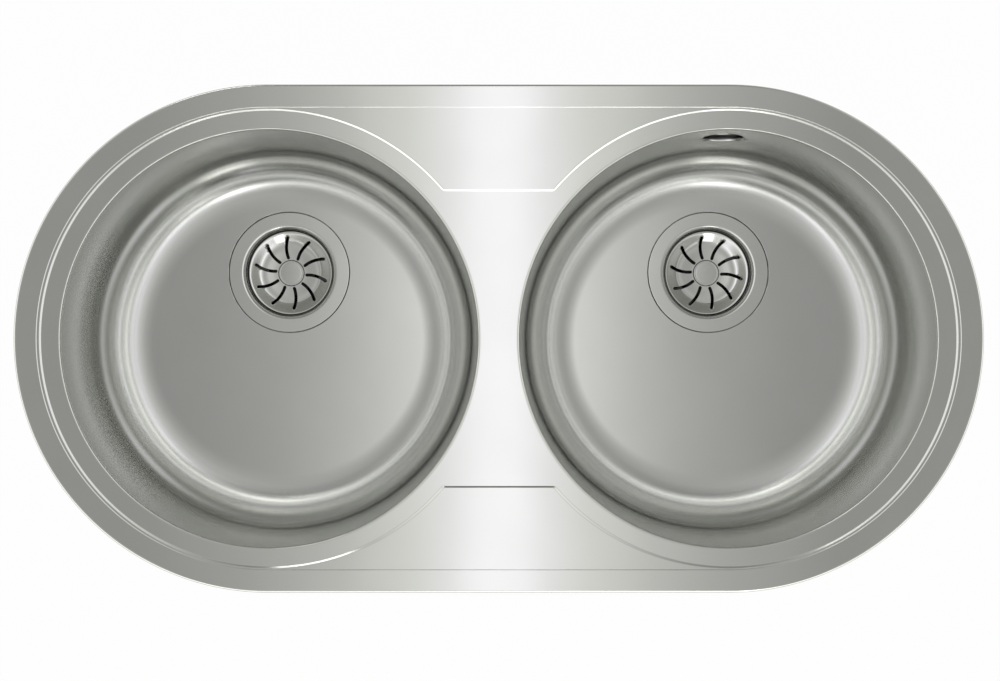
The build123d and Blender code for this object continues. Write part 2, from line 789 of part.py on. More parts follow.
# ---------------------------------------------------------------- fixing clips
def clip_places():
    """Screw axis and outward direction in degrees of each clip, round the cut-out."""
    reach = cutout_radius - clip_screw_inset
    places = []
    for outward in (-90, 90):
        for x in (-clip_straight_x, clip_straight_x):
            places.append((x, reach * sin(radians(outward)), outward))
    for end_x, middle in ((-end_centre_x, 180), (end_centre_x, 0)):
        for outward in (middle - clip_end_angle, middle + clip_end_angle):
            x = end_x + reach * cos(radians(outward))
            places.append((x, reach * sin(radians(outward)), outward))
    return places


def clip_section(x, y, outward):
    """Plane through a clip: X runs outwards from the screw's axis and Y up."""
    direction = Vector(1, 0, 0).rotate(Axis.Z, outward)
    return Plane(origin=(x, y, 0), x_dir=direction, z_dir=direction.cross(Vector(0, 0, 1)))


def clip_lug(x, y, outward):
    """Bracket welded under the deck's outer band, with the nut that the screw runs in."""
    top_z = rim_height - deck_sheet
    weld_end = clip_screw_inset - lug_edge_gap
    web = weld_end - lug_weld_width
    shelf_z = -lug_drop
    with BuildPart() as lug:
        with BuildSketch(clip_section(x, y, outward)):
            with BuildLine():
                corners = (weld_end, top_z), (web, top_z), (web, shelf_z), (web - lug_shelf, shelf_z)
                Polyline(*corners)
                offset(amount=lug_sheet, side=Side.LEFT, kind=Kind.INTERSECTION)
            make_face()
        extrude(amount=lug_width / 2, both=True)
        with BuildSketch(Plane.XY.offset(shelf_z)):
            with Locations((x, y)):
                Rectangle(lug_nut_width, lug_nut_width, rotation=outward)
        extrude(amount=-lug_sheet - lug_nut_height)
        with BuildSketch(Plane.XY.offset(shelf_z)):
            with Locations((x, y)):
                Circle(clip_screw_radius + thread_clearance)
        extrude(amount=-lug_sheet - lug_nut_height, mode=Mode.SUBTRACT)
    return lug.part


def clip_screw(x, y):
    """Screw whose head carries the claw from below."""
    head_top_z = claw_foot_z - clip_head_gap
    head_foot_z = head_top_z - clip_head_height
    with BuildPart() as screw:
        with BuildSketch(Plane.XY.offset(head_foot_z)):
            with Locations((x, y)):
                RegularPolygon(clip_head_radius, 6)
        extrude(amount=clip_head_height)
        with BuildSketch(Plane.XY.offset(head_top_z)):
            with Locations((x, y)):
                Circle(clip_screw_radius)
        extrude(amount=clip_screw_top - head_top_z)
    return screw.part


def clip_claw(x, y, outward):
    """Stamped claw that swings on the screw and bites the worktop's underside."""
    tip = clip_screw_inset + claw_reach
    top_z = claw_foot_z + claw_sheet
    tooth_pitch = claw_width / claw_tooth_count
    section = clip_section(x, y, outward)
    with BuildPart() as claw:
        with BuildSketch(section) as profile:
            with BuildLine():
                corners = (-claw_tail, claw_foot_z), (tip, claw_foot_z), (tip, -worktop_thickness)
                Polyline(*corners)
                offset(amount=claw_sheet, side=Side.LEFT, kind=Kind.INTERSECTION)
            make_face()
            chamfer(profile.vertices().sort_by_distance((tip, claw_foot_z))[0], claw_sheet / 2)
        extrude(amount=claw_width / 2, both=True)
        with BuildSketch(Plane.XY.offset(claw_foot_z)):
            with Locations((x, y)):
                Circle(clip_screw_radius + claw_hole_clearance)
        extrude(amount=claw_sheet, mode=Mode.SUBTRACT)
        tip_place = section.from_local_coords((tip, -worktop_thickness, 0))
        with BuildSketch(Plane(origin=tip_place, x_dir=section.z_dir, z_dir=section.x_dir)):
            with GridLocations(tooth_pitch, 0, claw_tooth_count - 1, 1):
                Polygon(
                    (-tooth_pitch / 2, 0),
                    (0, -claw_tooth_depth),
                    (tooth_pitch / 2, 0),
                    align=(Align.CENTER, Align.MAX),
                )
        extrude(amount=claw_sheet, both=True, mode=Mode.SUBTRACT)
    return claw.part


with BuildPart() as clip_lugs:
    for place in clip_places():
        add(clip_lug(*place))


# ---------------------------------------------------------------- output
os.makedirs("parts", exist_ok=True)
save(deck.part, "deck")
save(rim_seal.part, "rim_seal")
for side, bowl_x in bowl_places.items():
    drains_overflow = bowl_x == overflow_x
    save(bowl(bowl_x, drains_overflow), f"bowl_{side}")
    save(sound_pad(bowl_x), f"sound_pad_{side}")
    save(strainer_cup(bowl_x), f"strainer_cup_{side}")
    save(flange_gasket(bowl_x), f"flange_gasket_{side}")
    save(waste_gasket(bowl_x), f"waste_gasket_{side}")
    save(waste_body(bowl_x, drains_overflow), f"waste_body_{side}")
    save(strainer_screw(bowl_x), f"strainer_screw_{side}")
    save(screw_insert(bowl_x), f"screw_insert_{side}")
    save(basket_shell(bowl_x, slot_phases[side]), f"basket_shell_{side}")
    save(basket_knob(bowl_x), f"basket_knob_{side}")
    save(basket_stem(bowl_x), f"basket_stem_{side}")
    save(basket_stopper(bowl_x), f"basket_stopper_{side}")
    save(stopper_carrier(bowl_x), f"stopper_carrier_{side}")
    save(basket_catch(bowl_x), f"basket_catch_{side}")
save(overflow_rosette.part, "overflow_rosette")
save(overflow_screw.part, "overflow_screw")
save(overflow_gasket.part, "overflow_gasket")
save(overflow_head.part, "overflow_head")
save(overflow_hose.part, "overflow_hose")
save(hose_clips.part, "hose_clips")
save(clip_lugs.part, "clip_lugs")
for number, (clip_x, clip_y, outward) in enumerate(clip_places(), start=1):
    save(clip_screw(clip_x, clip_y), f"clip_screw_{number}")
    save(clip_claw(clip_x, clip_y, outward), f"clip_claw_{number}")
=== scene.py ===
"""Looks of the double bowl kitchen sink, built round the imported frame."""

from math import asin, atan2, cos, hypot, pi, radians, sin, sqrt, tan

import bmesh
import bpy
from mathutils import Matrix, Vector
from mathutils.geometry import delaunay_2d_cdt


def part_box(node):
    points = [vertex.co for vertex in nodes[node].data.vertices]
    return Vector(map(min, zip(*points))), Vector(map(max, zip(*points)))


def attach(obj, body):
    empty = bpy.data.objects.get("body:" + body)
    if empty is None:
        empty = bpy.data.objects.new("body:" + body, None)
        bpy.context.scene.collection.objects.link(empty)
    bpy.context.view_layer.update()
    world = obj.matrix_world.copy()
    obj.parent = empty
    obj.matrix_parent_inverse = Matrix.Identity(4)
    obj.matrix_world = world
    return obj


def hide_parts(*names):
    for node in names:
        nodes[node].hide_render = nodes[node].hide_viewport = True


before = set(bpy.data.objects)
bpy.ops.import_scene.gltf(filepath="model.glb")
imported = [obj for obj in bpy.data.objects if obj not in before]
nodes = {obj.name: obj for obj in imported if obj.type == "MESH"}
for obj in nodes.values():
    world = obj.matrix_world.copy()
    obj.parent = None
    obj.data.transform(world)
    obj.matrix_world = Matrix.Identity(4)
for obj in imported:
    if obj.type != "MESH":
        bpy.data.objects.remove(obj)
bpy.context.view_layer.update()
scene = bpy.context.scene

# ------------------------------------------------------------------ camera, floor and lamps
# The camera looks straight down on the sink, which hangs just clear of a pale floor. A soft strip
# light hangs low over the bridge between the bowls and two soft boxes stand in front and behind,
# in a grey room that is bright low down at the sides and in front.
floor_height = -0.26
camera_data = bpy.data.cameras.new("camera")
camera_data.lens = 69.0
camera_data.sensor_width = 36.0
camera_data.shift_x = 0.0013
camera_data.shift_y = 0.0165
camera = bpy.data.objects.new("camera", camera_data)
camera.location = (0.0, -0.016, 1.662)
scene.collection.objects.link(camera)
scene.camera = camera
scene.view_settings.view_transform = "Standard"


class Socket:
    """An output of a node tree, which adds Math nodes when it is used in an expression."""

    def __init__(self, tree, socket):
        self.tree = tree
        self.socket = socket

    def maths(self, operation, *others):
        return self.tree.add("ShaderNodeMath", {"operation": operation}, self, *others)

    def __add__(self, other):
        return self.maths("ADD", other)

    def __sub__(self, other):
        return self.maths("SUBTRACT", other)

    def __rsub__(self, other):
        return self.tree.add("ShaderNodeMath", {"operation": "SUBTRACT"}, other, self)

    def __mul__(self, other):
        return self.maths("MULTIPLY", other)

    def __lt__(self, other):
        return self.maths("LESS_THAN", other)

    def __abs__(self):
        return self.maths("ABSOLUTE")

    __radd__ = __add__
    __rmul__ = __mul__


class Finish:
    """A shader tree. add() makes any node and gives back one of its outputs."""

    def __init__(self, name, tree=None):
        if tree is None:
            self.material = bpy.data.materials.new(name)
            self.material.use_nodes = True
            tree = self.material.node_tree
        self.nodes, self.links = tree.nodes, tree.links
        self.nodes.clear()

    def add(self, kind, settings=None, *values, out=0, **named):
        node = self.nodes.new(kind)
        for key, value in (settings or {}).items():
            if key == "stops":
                elements = node.color_ramp.elements
                while len(elements) < len(value):
                    elements.new(1.0)
                for element, (place, colour) in zip(elements, value):
                    element.position = place
                    element.color = grey(colour) if isinstance(colour, float) else (*colour, 1.0)
            else:
                setattr(node, key, value)
        for key, value in [*enumerate(values), *named.items()]:
            socket = node.inputs[key.replace("_", " ") if isinstance(key, str) else key]
            if isinstance(value, Socket):
                self.links.new(value.socket, socket)
            elif value is not None:
                socket.default_value = value
        return Socket(self, node.outputs[out]) if len(node.outputs) else None

    def parts(self, vector):
        """The three numbers of a vector."""
        split = self.add("ShaderNodeSeparateXYZ", None, vector).socket.node
        return [Socket(self, output) for output in split.outputs]

    def place(self):
        """The point's x, y and z in the sink's own frame."""
        return self.parts(self.add("ShaderNodeTexCoord", out="Object"))

    def ramp(self, value, *stops):
        return self.add("ShaderNodeValToRGB", {"stops": stops}, value)

    def noise(self, x, y, z, detail):
        """Clouds or grain from 0 to 1, as fine as x, y and z are scaled."""
        at = self.add("ShaderNodeCombineXYZ", None, x, y, z)
        return self.add("ShaderNodeTexNoise", None, at, Scale=1.0, Detail=detail)

    def mixed(self, share, first, second):
        """From the first colour to the second, as share goes from 0 to 1."""
        return self.add("ShaderNodeMix", {"data_type": "RGBA"}, share, *[None] * 5, first, second, out=2)

    def shaded(self, tone, shine, relief, metallic=1.0):
        sockets = {"Base_Color": tone, "Metallic": metallic, "Roughness": shine, "Normal": relief}
        return self.surface(self.add("ShaderNodeBsdfPrincipled", None, **sockets))

    def surface(self, shader):
        self.add("ShaderNodeOutputMaterial", None, shader)
        return self.material


def grey(value):
    return (value, value, value, 1.0)


def sheet_of(name, corners, material):
    """A flat four-cornered piece of the studio, which isn't part of the sink."""
    mesh = bpy.data.meshes.new(name)
    mesh.from_pydata(corners, [], [(0, 1, 2, 3)])
    made = bpy.data.objects.new(name, mesh)
    made.data.materials.append(material)
    scene.collection.objects.link(made)
    return made


def level(reach_x, reach_y, z):
    """The corners of a level sheet centred over the sink."""
    return [(-reach_x, -reach_y, z), (reach_x, -reach_y, z), (reach_x, reach_y, z), (-reach_x, reach_y, z)]


def upright(left, right, y, low, high):
    """The corners of a sheet that stands across the room at y."""
    return [(left, y, low), (right, y, low), (right, y, high), (left, y, high)]


floor_paint = Finish("floor_paint")
seen, mirrored, let_through = (floor_paint.add("ShaderNodeLightPath", out=ray)
                               for ray in ("Is Camera Ray", "Is Glossy Ray", "Is Transmission Ray"))
shown = seen.maths("MAXIMUM", mirrored).maths("MAXIMUM", let_through)
lit = floor_paint.add("ShaderNodeBsdfDiffuse", None, grey(0.8))
white = floor_paint.add("ShaderNodeEmission", None, grey(1.0), 1.0)
floor_paint.surface(floor_paint.add("ShaderNodeMixShader", None, shown * 0.97, lit, white))
sheet_of("floor", level(6.0, 6.0, floor_height), floor_paint.material)

world = bpy.data.worlds.new("room")
world.use_nodes = True
scene.world = world
room = Finish("room", world.node_tree)
east, north, height = room.parts(room.add("ShaderNodeTexCoord"))
front = north.maths("MINIMUM", 0.0)
back = north.maths("MAXIMUM", 0.0).maths("POWER", 4.0)
plain = room.ramp(height, (0.0, 0.66), (0.82, 0.66), (0.90, 0.60), (0.95, 0.53))
low = room.ramp(height, (0.0, 1.4), (0.12, 2.1), (0.40, 1.8), (0.50, 0.7), (0.64, 0.0))
# only the steel's reflections see all of the bright parts, so that plain surfaces keep their colour
shining = 1.0 - room.add("ShaderNodeLightPath", out="Is Diffuse Ray") * 0.5
bright = low * (east * east * 0.85 + front * front * 0.7) + front * front * 0.8
light = room.add("ShaderNodeBackground", None, grey(1.0), plain * (1.0 - back * 0.6) + bright * shining)
room.add("ShaderNodeOutputWorld", None, light)


def soft_box(name, corners, strength):
    """A lamp card, left out of the camera's own view and a little cooler over the middle. Its
    strength is a number, or a ramp's stops by the distance from the middle."""
    paint = Finish(name)
    across = abs(paint.place()[0])
    tint = paint.ramp(across, (0.0, (1.0, 0.985, 1.06)), (0.04, (1.0, 0.987, 1.055)), (0.085, (1.0, 1.0, 1.0)))
    glow = strength if isinstance(strength, float) else paint.ramp(across, *strength)
    card = sheet_of(name, corners, paint.surface(paint.add("ShaderNodeEmission", None, tint, glow)))
    card.visible_camera = False
    card.visible_diffuse = name == "strip_lamp"


strip_height = 0.15
strip_glow = [(0.0, 1.84), (0.02, 1.80), (0.046, 1.53), (0.085, 1.22), (0.12, 1.08), (0.145, 0.94),
              (0.20, 0.75), (0.24, 0.66), (0.33, 0.53)]
front_glow = 4.2
back_glow = 3.5
soft_box("strip_lamp", level(0.33, 0.31, strip_height), strip_glow)
soft_box("front_lamp", upright(0.0, 0.9, -3.0, 0.5, 2.4), front_glow)
soft_box("back_lamp", upright(-1.8, -0.7, 3.0, 0.6, 1.5), back_glow)

# ------------------------------------------------------------------ deck
# One pressing of 0.8 mm stainless steel: flat outer band, two tap ledges a small step lower and a
# wet area lower again, with each bowl's opening rolled down. It is brushed from left to right
# before the bowls are welded to the rolled edges.
bowl_places = {"left": -0.199, "right": 0.199}
steel_sheet = 0.0008
rim_height = 0.005
ledge_height = 0.0042
wet_height = 0.0025
weld_height = -0.0025
end_centre = 0.200
deck_end_radius = 0.220
band_width = 0.0194
ledge_slope = 0.0011
opening_radius = 0.181
roll_radius = 0.0025
well_radius = 0.1992
well_half_depth = 0.1295
well_corner = 0.002
well_slope = 0.0023
turn_steps = 240


class Shell:
    """Corners and faces of a pressed or turned piece, gathered loop by loop."""

    def __init__(self):
        self.corners = []
        self.faces = []
        self.folds = []

    def loop(self, points):
        start = len(self.corners)
        self.corners.extend(points)
        return list(range(start, len(self.corners)))

    def band(self, first, second):
        for i in range(len(first)):
            j = (i + 1) % len(first)
            self.faces.append((first[i], first[j], second[j], second[i]))
        return second

    def bands(self, loops):
        for first, second in zip(loops, loops[1:]):
            self.band(first, second)

    def fold(self, loop):
        """Marks a loop as a crisp line between a flat and a slope."""
        self.folds += [(loop[i - 1], loop[i]) for i in range(len(loop))]

    def fill(self, outer, holes, lift=None, inside=(), keep=None, plan=lambda corner: corner[:2]):
        """Triangles between closed loops, laid out flat by plan. lift puts the points that lie
        inside, which are given flat, back on the piece."""
        used = [index for loop in (outer, *holes) for index in loop]
        flat = [Vector(plan(self.corners[index])) for index in used] + [Vector(point) for point in inside]
        edges = []
        for loop in (outer, *holes):
            start = len(edges)
            edges += [(start + i, start + (i + 1) % len(loop)) for i in range(len(loop))]
        points, _, faces, origins, _, _ = delaunay_2d_cdt(flat, edges, [], 1, 1e-9)
        place = {}
        for new, olds in enumerate(origins):
            known = [used[old] for old in olds if old < len(used)]
            place[new] = known[0] if known else self.loop([lift(*points[new])])[0]
        for face in faces:
            middle = sum((points[i] for i in face), Vector((0, 0))) / len(face)
            if keep is None or keep(middle):
                self.faces.append(tuple(place[i] for i in face))

    def piece(self, name, sharp, material=None):
        """The mesh object, closed, with its faces outwards and its sharp edges marked."""
        mesh = bpy.data.meshes.new(name)
        mesh.from_pydata(self.corners, [], self.faces)
        work = bmesh.new()
        work.from_mesh(mesh)
        work.verts.ensure_lookup_table()
        for pair in self.folds:
            edge = work.edges.get([work.verts[i] for i in pair])
            if edge:
                edge.smooth = False
        bmesh.ops.remove_doubles(work, verts=work.verts, dist=1e-6)
        bmesh.ops.delete(work, geom=[v for v in work.verts if not v.link_faces], context="VERTS")
        bmesh.ops.recalc_face_normals(work, faces=work.faces)
        for face in work.faces:
            face.smooth = True
        for edge in work.edges:
            if len(edge.link_faces) == 2 and edge.calc_face_angle() > radians(sharp):
                edge.smooth = False
        work.to_mesh(mesh)
        work.free()
        made = bpy.data.objects.new(name, mesh)
        scene.collection.objects.link(made)
        if material:
            mesh.materials.append(material)
        return made


def dressed(made, body, node):
    """Puts a made piece on the body that carries it, in place of a plain node."""
    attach(made, body)
    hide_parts(node)


def arc(x, y, radius, first, last, steps):
    """Points round (x, y) from the first angle to the last."""
    turns = [first + (last - first) * i / steps for i in range(steps + 1)]
    return [(x + radius * cos(turn), y + radius * sin(turn)) for turn in turns]


def circle(x, y, radius, z, count=turn_steps):
    return [(px, py, z) for px, py in arc(x, y, radius, 0.0, 2 * pi, count)[:-1]]


def apart(at, x, y=0.0):
    return hypot(at[0] - x, at[1] - y)


def stadium(inset, z):
    """The deck's outline drawn in by inset: two half circles and two straight runs."""
    radius = deck_end_radius - inset
    half = arc(end_centre, 0.0, radius, -pi / 2, pi / 2, 120)
    half += [(end_centre * (1 - i / 20), radius) for i in range(1, 40)]
    return [(side * x, side * y, z) for side in (1, -1) for x, y in half]


def wet_outline(inset, z):
    """The wet area's outline drawn in by inset: two arcs, two straight runs and four corners."""
    corner_radius = well_corner + inset
    corner_y = well_half_depth + well_corner
    reach = sqrt((well_radius + well_corner) ** 2 - corner_y**2)
    corner_x = bowl_places["right"] - reach
    lean = atan2(corner_y, reach)
    half = arc(bowl_places["right"], 0.0, well_radius - inset, lean - pi, pi - lean, 240)
    half += arc(corner_x, corner_y, corner_radius, -lean, -pi / 2, 10)[1:]
    half += [(corner_x * (1 - i / 10), corner_y - corner_radius) for i in range(1, 20)]
    half += arc(-corner_x, corner_y, corner_radius, -pi / 2, lean - pi, 10)[:-1]
    return [(side * x, side * y, z) for side in (1, -1) for x, y in half]


def in_wet(at):
    """Whether a point of the deck lies inside the wet area's outline."""
    if abs(at[0]) < bowl_places["right"] and abs(at[1]) < well_half_depth:
        return True
    return min(apart(at, x) for x in bowl_places.values()) < well_radius


def beside_bowls(at):
    return all(apart(at, x) > opening_radius + roll_radius for x in bowl_places.values())


def eased(share):
    """A straight slope with a short round at each end."""
    end = 0.15
    if share > 0.5:
        return 1 - eased(1 - share)
    return share * share / (2 * end * (1 - end)) if share < end else (share - end / 2) / (1 - end)


def deck_skin(shell, drop):
    """One face of the sheet, the under one by its drop. Gives back its open loops: skirt foot and
    two rolls."""
    edge_radius = roll_radius - drop
    foot = shell.loop(stadium(drop, 0.0))
    band = [foot]
    for inset, z in arc(roll_radius, rim_height - roll_radius, edge_radius, pi, pi / 2, 8):
        band.append(shell.loop(stadium(inset, z)))
    shell.fold(band[-1])
    for i in range(9):
        height = rim_height - (rim_height - ledge_height) * eased(i / 8) - drop
        band.append(shell.loop(stadium(band_width + ledge_slope * i / 8, height)))
    shell.fold(band[-9])
    shell.fold(band[-1])
    shell.bands(band)
    well = []
    for i in range(11):
        height = ledge_height - (ledge_height - wet_height) * eased(i / 10) - drop
        well.append(shell.loop(wet_outline(well_slope * i / 10, height)))
    shell.fold(well[0])
    shell.fold(well[-1])
    shell.bands(well)
    shell.fill(band[-1], [well[0]], keep=lambda at: not in_wet(at))
    rolls = []
    for x in bowl_places.values():
        roll = arc(opening_radius + roll_radius, wet_height - roll_radius, edge_radius, pi / 2, pi, 8)
        roll.append((opening_radius + drop, weld_height))
        rolls.append([shell.loop(circle(x, 0.0, radius, z)) for radius, z in roll])
        shell.fold(rolls[-1][0])
        shell.bands(rolls[-1])
    shell.fill(well[-1], [roll[0] for roll in rolls], keep=beside_bowls)
    return [foot, *(roll[-1] for roll in rolls)]


def steel(name, colour, roughness, marks, depth, cloud_size=0.07, coarser=None, painted_light=None):
    """Bare stainless steel. marks(paint) gives its fine grain from 0 to 1, coarser(paint) what is
    added to its roughness, and the last function, from paint and tone, its colour with painted highlights and
    painted shade."""
    paint = Finish(name)
    grain = marks(paint)
    x, y, z = paint.place()
    patches = paint.noise(x * (1 / cloud_size), y * (1 / cloud_size), z * (1 / cloud_size), 3.0)
    darker, bright = (tuple(part * level for part in colour) for level in (0.985, 1.015))
    tone = paint.ramp(patches + (grain - 0.5) * 0.25, (0.35, darker), (0.65, bright))
    shine = roughness + (grain - 0.5) * 0.06 + (patches - 0.5) * 0.015
    if coarser:
        shine = shine + coarser(paint)
    # painted highlights and painted shade go into the colour here
    if painted_light:
        tone = painted_light(paint, tone)
    relief = paint.add("ShaderNodeBump", None, Distance=depth, Height=grain)
    return paint.shaded(tone, shine, relief)


def brushed_along(paint):
    """Grain that runs from left to right."""
    x, y, z = paint.place()
    return paint.noise(x * 30.0, y * 3000.0, z * 3000.0, 2.0)


deck_shell = Shell()
for first, second in zip(deck_skin(deck_shell, 0.0), deck_skin(deck_shell, steel_sheet)):
    deck_shell.band(first, second)
brushed_deck = steel("brushed_deck", (0.500, 0.506, 0.472), 0.14, brushed_along, 0.00002)
dressed(deck_shell.piece("deck_pressing", 60, brushed_deck), "sink", "deck")

# ------------------------------------------------------------------ bowls
# Two deep drawn round bowls of 0.8 mm steel with a satin finish brushed round them. Each has a
# sunk seat for its strainer behind its centre, and the right one a recess for the overflow.
bowl_foot = -0.160
floor_radius = 0.127
foot_bend = 0.038
foot_turn = radians(45)
taper = radians(3.9)
# the upper bend's radius makes it run into both the lower bend and the tapered wall
foot_x = floor_radius + foot_bend * sin(foot_turn)
foot_z = bowl_foot + foot_bend * (1 - cos(foot_turn))
haunch_bend = (opening_radius + (foot_z - weld_height) * tan(taper) - foot_x) / (
    cos(taper) - sin(foot_turn) - (cos(foot_turn) - sin(taper)) * tan(taper))
foot_centre = (floor_radius, bowl_foot + foot_bend)
haunch_centre = (foot_centre[0] - (haunch_bend - foot_bend) * sin(foot_turn),
                 foot_centre[1] + (haunch_bend - foot_bend) * cos(foot_turn))
wall_heights = [weld_height, -0.006, -0.010, -0.014, -0.018, -0.022, -0.026, -0.030, -0.034, -0.038, -0.042,
                -0.046, -0.050, -0.054, -0.058, -0.062, -0.066, -0.074, -0.082, -0.090, -0.098]
drain_y = 0.0645
seat_radius = 0.0575
seat_height = -0.1625
seat_round = 0.0006
drain_hole = 0.045
overflow_height = -0.038
overflow_back = 0.18358
recess_radius = 0.018
recess_round = 0.0012
recess_hole = 0.014


def wall_at(z, outset):
    """The tapered wall's radius at a height."""
    return opening_radius - (weld_height - z) * tan(taper) + outset / cos(taper)


def bowl_skin(shell, x, outset, overflow):
    """One face of a bowl's sheet. Gives back its open loops: rim, drain and overflow."""
    floor_z = bowl_foot - outset
    profile = [(wall_at(z, outset), z) for z in wall_heights]
    profile += arc(*haunch_centre, haunch_bend + outset, -taper, foot_turn - pi / 2, 24)[:-1]
    profile += arc(*foot_centre, foot_bend + outset, foot_turn - pi / 2, -pi / 2, 24)[:-1]
    rows = [shell.loop(circle(x, 0.0, radius, z)) for radius, z in [*profile, (floor_radius, floor_z)]]
    # the wall leaves a window open behind, where the overflow's recess comes
    first, last = turn_steps // 4 - 9, turn_steps // 4 + 9
    high_row, low_row = wall_heights.index(-0.014), wall_heights.index(-0.062)
    for row in range(len(rows) - 1):
        for i in range(turn_steps):
            if not (overflow and high_row <= row < low_row and first <= i < last):
                j = (i + 1) % turn_steps
                shell.faces.append((rows[row][i], rows[row][j], rows[row + 1][j], rows[row + 1][i]))

    # floor, with the strainer's sunk seat
    seat = seat_radius + outset
    seat_profile = arc(seat + seat_round, floor_z - seat_round, seat_round, pi / 2, pi, 5)
    seat_profile += [(seat, seat_height - outset), (drain_hole, seat_height - outset)]
    seat_loops = [shell.loop(circle(x, drain_y, radius, z, 160)) for radius, z in seat_profile]
    shell.fold(rows[-1])
    shell.fold(seat_loops[0])
    shell.bands(seat_loops)
    shell.fill(rows[-1], [seat_loops[0]], keep=lambda at: apart(at, x, drain_y) > seat + 0.0003)
    if not overflow:
        return [rows[0], seat_loops[-1]]

    # back wall, with the overflow's recess
    recess = recess_radius + outset

    def on_wall(along, z):
        return (x + along, sqrt(wall_at(z, outset) ** 2 - along**2), z)

    rim = []
    for radius, sink in arc(recess + recess_round, recess_round, recess_round, -pi / 2, -pi, 4):
        wall = [on_wall(px, pz) for px, pz, _ in circle(0.0, overflow_height, radius, 0.0, 96)]
        rim.append(shell.loop([(px, py + sink, pz) for px, py, pz in wall]))
    for radius in (recess, recess_hole):
        ring = circle(0.0, overflow_height, radius, 0.0, 96)
        rim.append(shell.loop([(x + px, overflow_back + outset, pz) for px, pz, _ in ring]))
    shell.bands(rim)
    outline = [rows[high_row][i] for i in range(first, last)]
    outline += [rows[row][last] for row in range(high_row, low_row)]
    outline += [rows[low_row][i] for i in range(last, first, -1)]
    outline += [rows[row][first] for row in range(low_row, high_row, -1)]
    spread = [index for row in rows[high_row + 1:low_row] for index in row[first + 1:last]]
    spread = [(shell.corners[index][0] - x, shell.corners[index][2]) for index in spread]
    spread = [point for point in spread if apart(point, 0.0, overflow_height) > recess + 0.0025]
    shell.fill(outline, [rim[0]], on_wall, spread, lambda at: apart(at, 0.0, overflow_height) > recess + 0.0008,
               lambda corner: (corner[0] - x, corner[2]))
    return [rows[0], seat_loops[-1], rim[-1]]


def brushed_round(y, density):
    """Grain that runs round an upright axis on each bowl's middle line, at y."""

    def marks(paint):
        px, py, pz = paint.place()
        across, along = abs(px) - bowl_places["right"], py - y
        radius = (across * across + along * along).maths("SQRT")
        drift = paint.noise(px * 9.0, py * 9.0, pz * 9.0, 1.0)
        return paint.noise(radius * density + drift * 3.0, pz * (density * 0.4), drift * 12.0, 2.0)

    return marks


def bowl_level(paint):
    """Height in the bowl, from 0 at the floor to 1 at the deck."""
    return (paint.place()[2] - bowl_foot) * (1 / -bowl_foot)


def coarser_bends(paint):
    """The drawing leaves the bend round the floor a little rougher than the floor and the wall."""
    return paint.ramp(bowl_level(paint), (0.004, 0.03), (0.02, 0.11), (0.038, 0.11), (0.06, 0.04),
                      (0.10, 0.02), (1.0, 0.02))


def painted_bend_highlight_and_shade(paint, tone):
    """Painted light: the bend round the floor is painted lighter as a painted highlight, and painted shade
    darkens a thin line at the foot of the bend and a band round the crease where the wall starts.
    """
    level = bowl_level(paint)
    wear_and_sheen = paint.ramp(level, (0.034, 0.0), (0.050, 0.90), (0.060, 1.0), (0.10, 1.0), (0.14, 0.80),
                        (0.19, 0.55), (0.25, 0.0))
    darker = paint.ramp(level, (0.012, 0.0), (0.022, 0.10), (0.034, 0.10), (0.042, 0.0), (0.24, 0.0),
                      (0.29, 0.25), (0.38, 0.35), (0.50, 0.12), (0.65, 0.0))
    tone = paint.mixed(wear_and_sheen, tone, (0.88, 0.885, 0.865, 1.0))
    # painted shade darkens the overflow's recess, more deeply towards its back
    x, y, z = paint.place()
    across, above = x - bowl_places["right"], z - overflow_height
    depth = (across * across + y * y).maths("SQRT") - wall_at(0.0, 0.0) - z * tan(taper)
    near = across * across + above * above < (recess_radius + 0.0008) ** 2
    painted_recess_shade = paint.ramp(depth * 200.0, (0.25, 0.0), (0.45, 0.9)) * near
    return paint.mixed(darker.maths("MAXIMUM", painted_recess_shade), tone, (0.05, 0.05, 0.048, 1.0))


# the bowls' colour carries a painted highlight on the floor bend and painted shade in the creases and the
# overflow's recess
bowl_satin = steel("bowl_satin", (0.500, 0.505, 0.480), 0.15, brushed_round(0.0, 1500.0), 0.000001,
                   coarser=coarser_bends, painted_light=painted_bend_highlight_and_shade)
for side, x in bowl_places.items():
    shell = Shell()
    inner, outer = (bowl_skin(shell, x, outset, side == "right") for outset in (0.0, steel_sheet))
    for first, second in zip(inner, outer):
        shell.band(first, second)
    dressed(shell.piece(f"bowl_{side}_pressing", 50, bowl_satin), "sink", f"bowl_{side}")

# ------------------------------------------------------------------ strainer cups
# A polished steel cup with a flange that lies on the bowl's floor, a rolled mouth, a seat for the
# basket and four drain holes. Pressed from sheet and clamped through its floor from below.
mm = 0.001
cup_sheet = 0.8
flange_top = -160.0
screw_hole = 5.05
cup_hole = 4.8
cup_hole_circle = 15.0
# the rolled mouth's radius, fall below the flange and lean in degrees
cup_mouth = [(45.0, 0.05, 14), (44.4, 0.25, 24), (43.6, 0.70, 32), (42.8, 1.25, 36), (42.0, 1.90, 42),
             (41.5, 2.45, 52), (41.1, 3.10, 62), (40.85, 3.80, 74), (40.7, 4.70, 86)]


def softened(corners, radius, steps=4):
    """An outline in (radius, height) with each corner rounded."""
    outline = []
    for i, corner in enumerate(corners):
        if corner[0] <= 0:
            outline.append(corner)
            continue
        at = Vector(corner)
        sides = [Vector(other) - at for other in (corners[i - 1], corners[(i + 1) % len(corners)])]
        start, end = (at + side.normalized() * min(radius, side.length * 0.45) for side in sides)
        for k in range(steps + 1):
            share = k / steps
            outline.append(tuple(start * (1 - share) ** 2 + at * 2 * share * (1 - share) + end * share**2))
    return outline


def turned(shell, x, y, outline, count=160, closed=None):
    """Adds a solid turned about an upright axis from an outline in millimetres."""
    rows = [shell.loop(circle(x, y, radius * mm, z * mm, count)) for radius, z in outline]
    if closed is None:
        closed = outline[0][0] > 0
    shell.bands(rows + rows[:1] if closed else rows)
    return rows


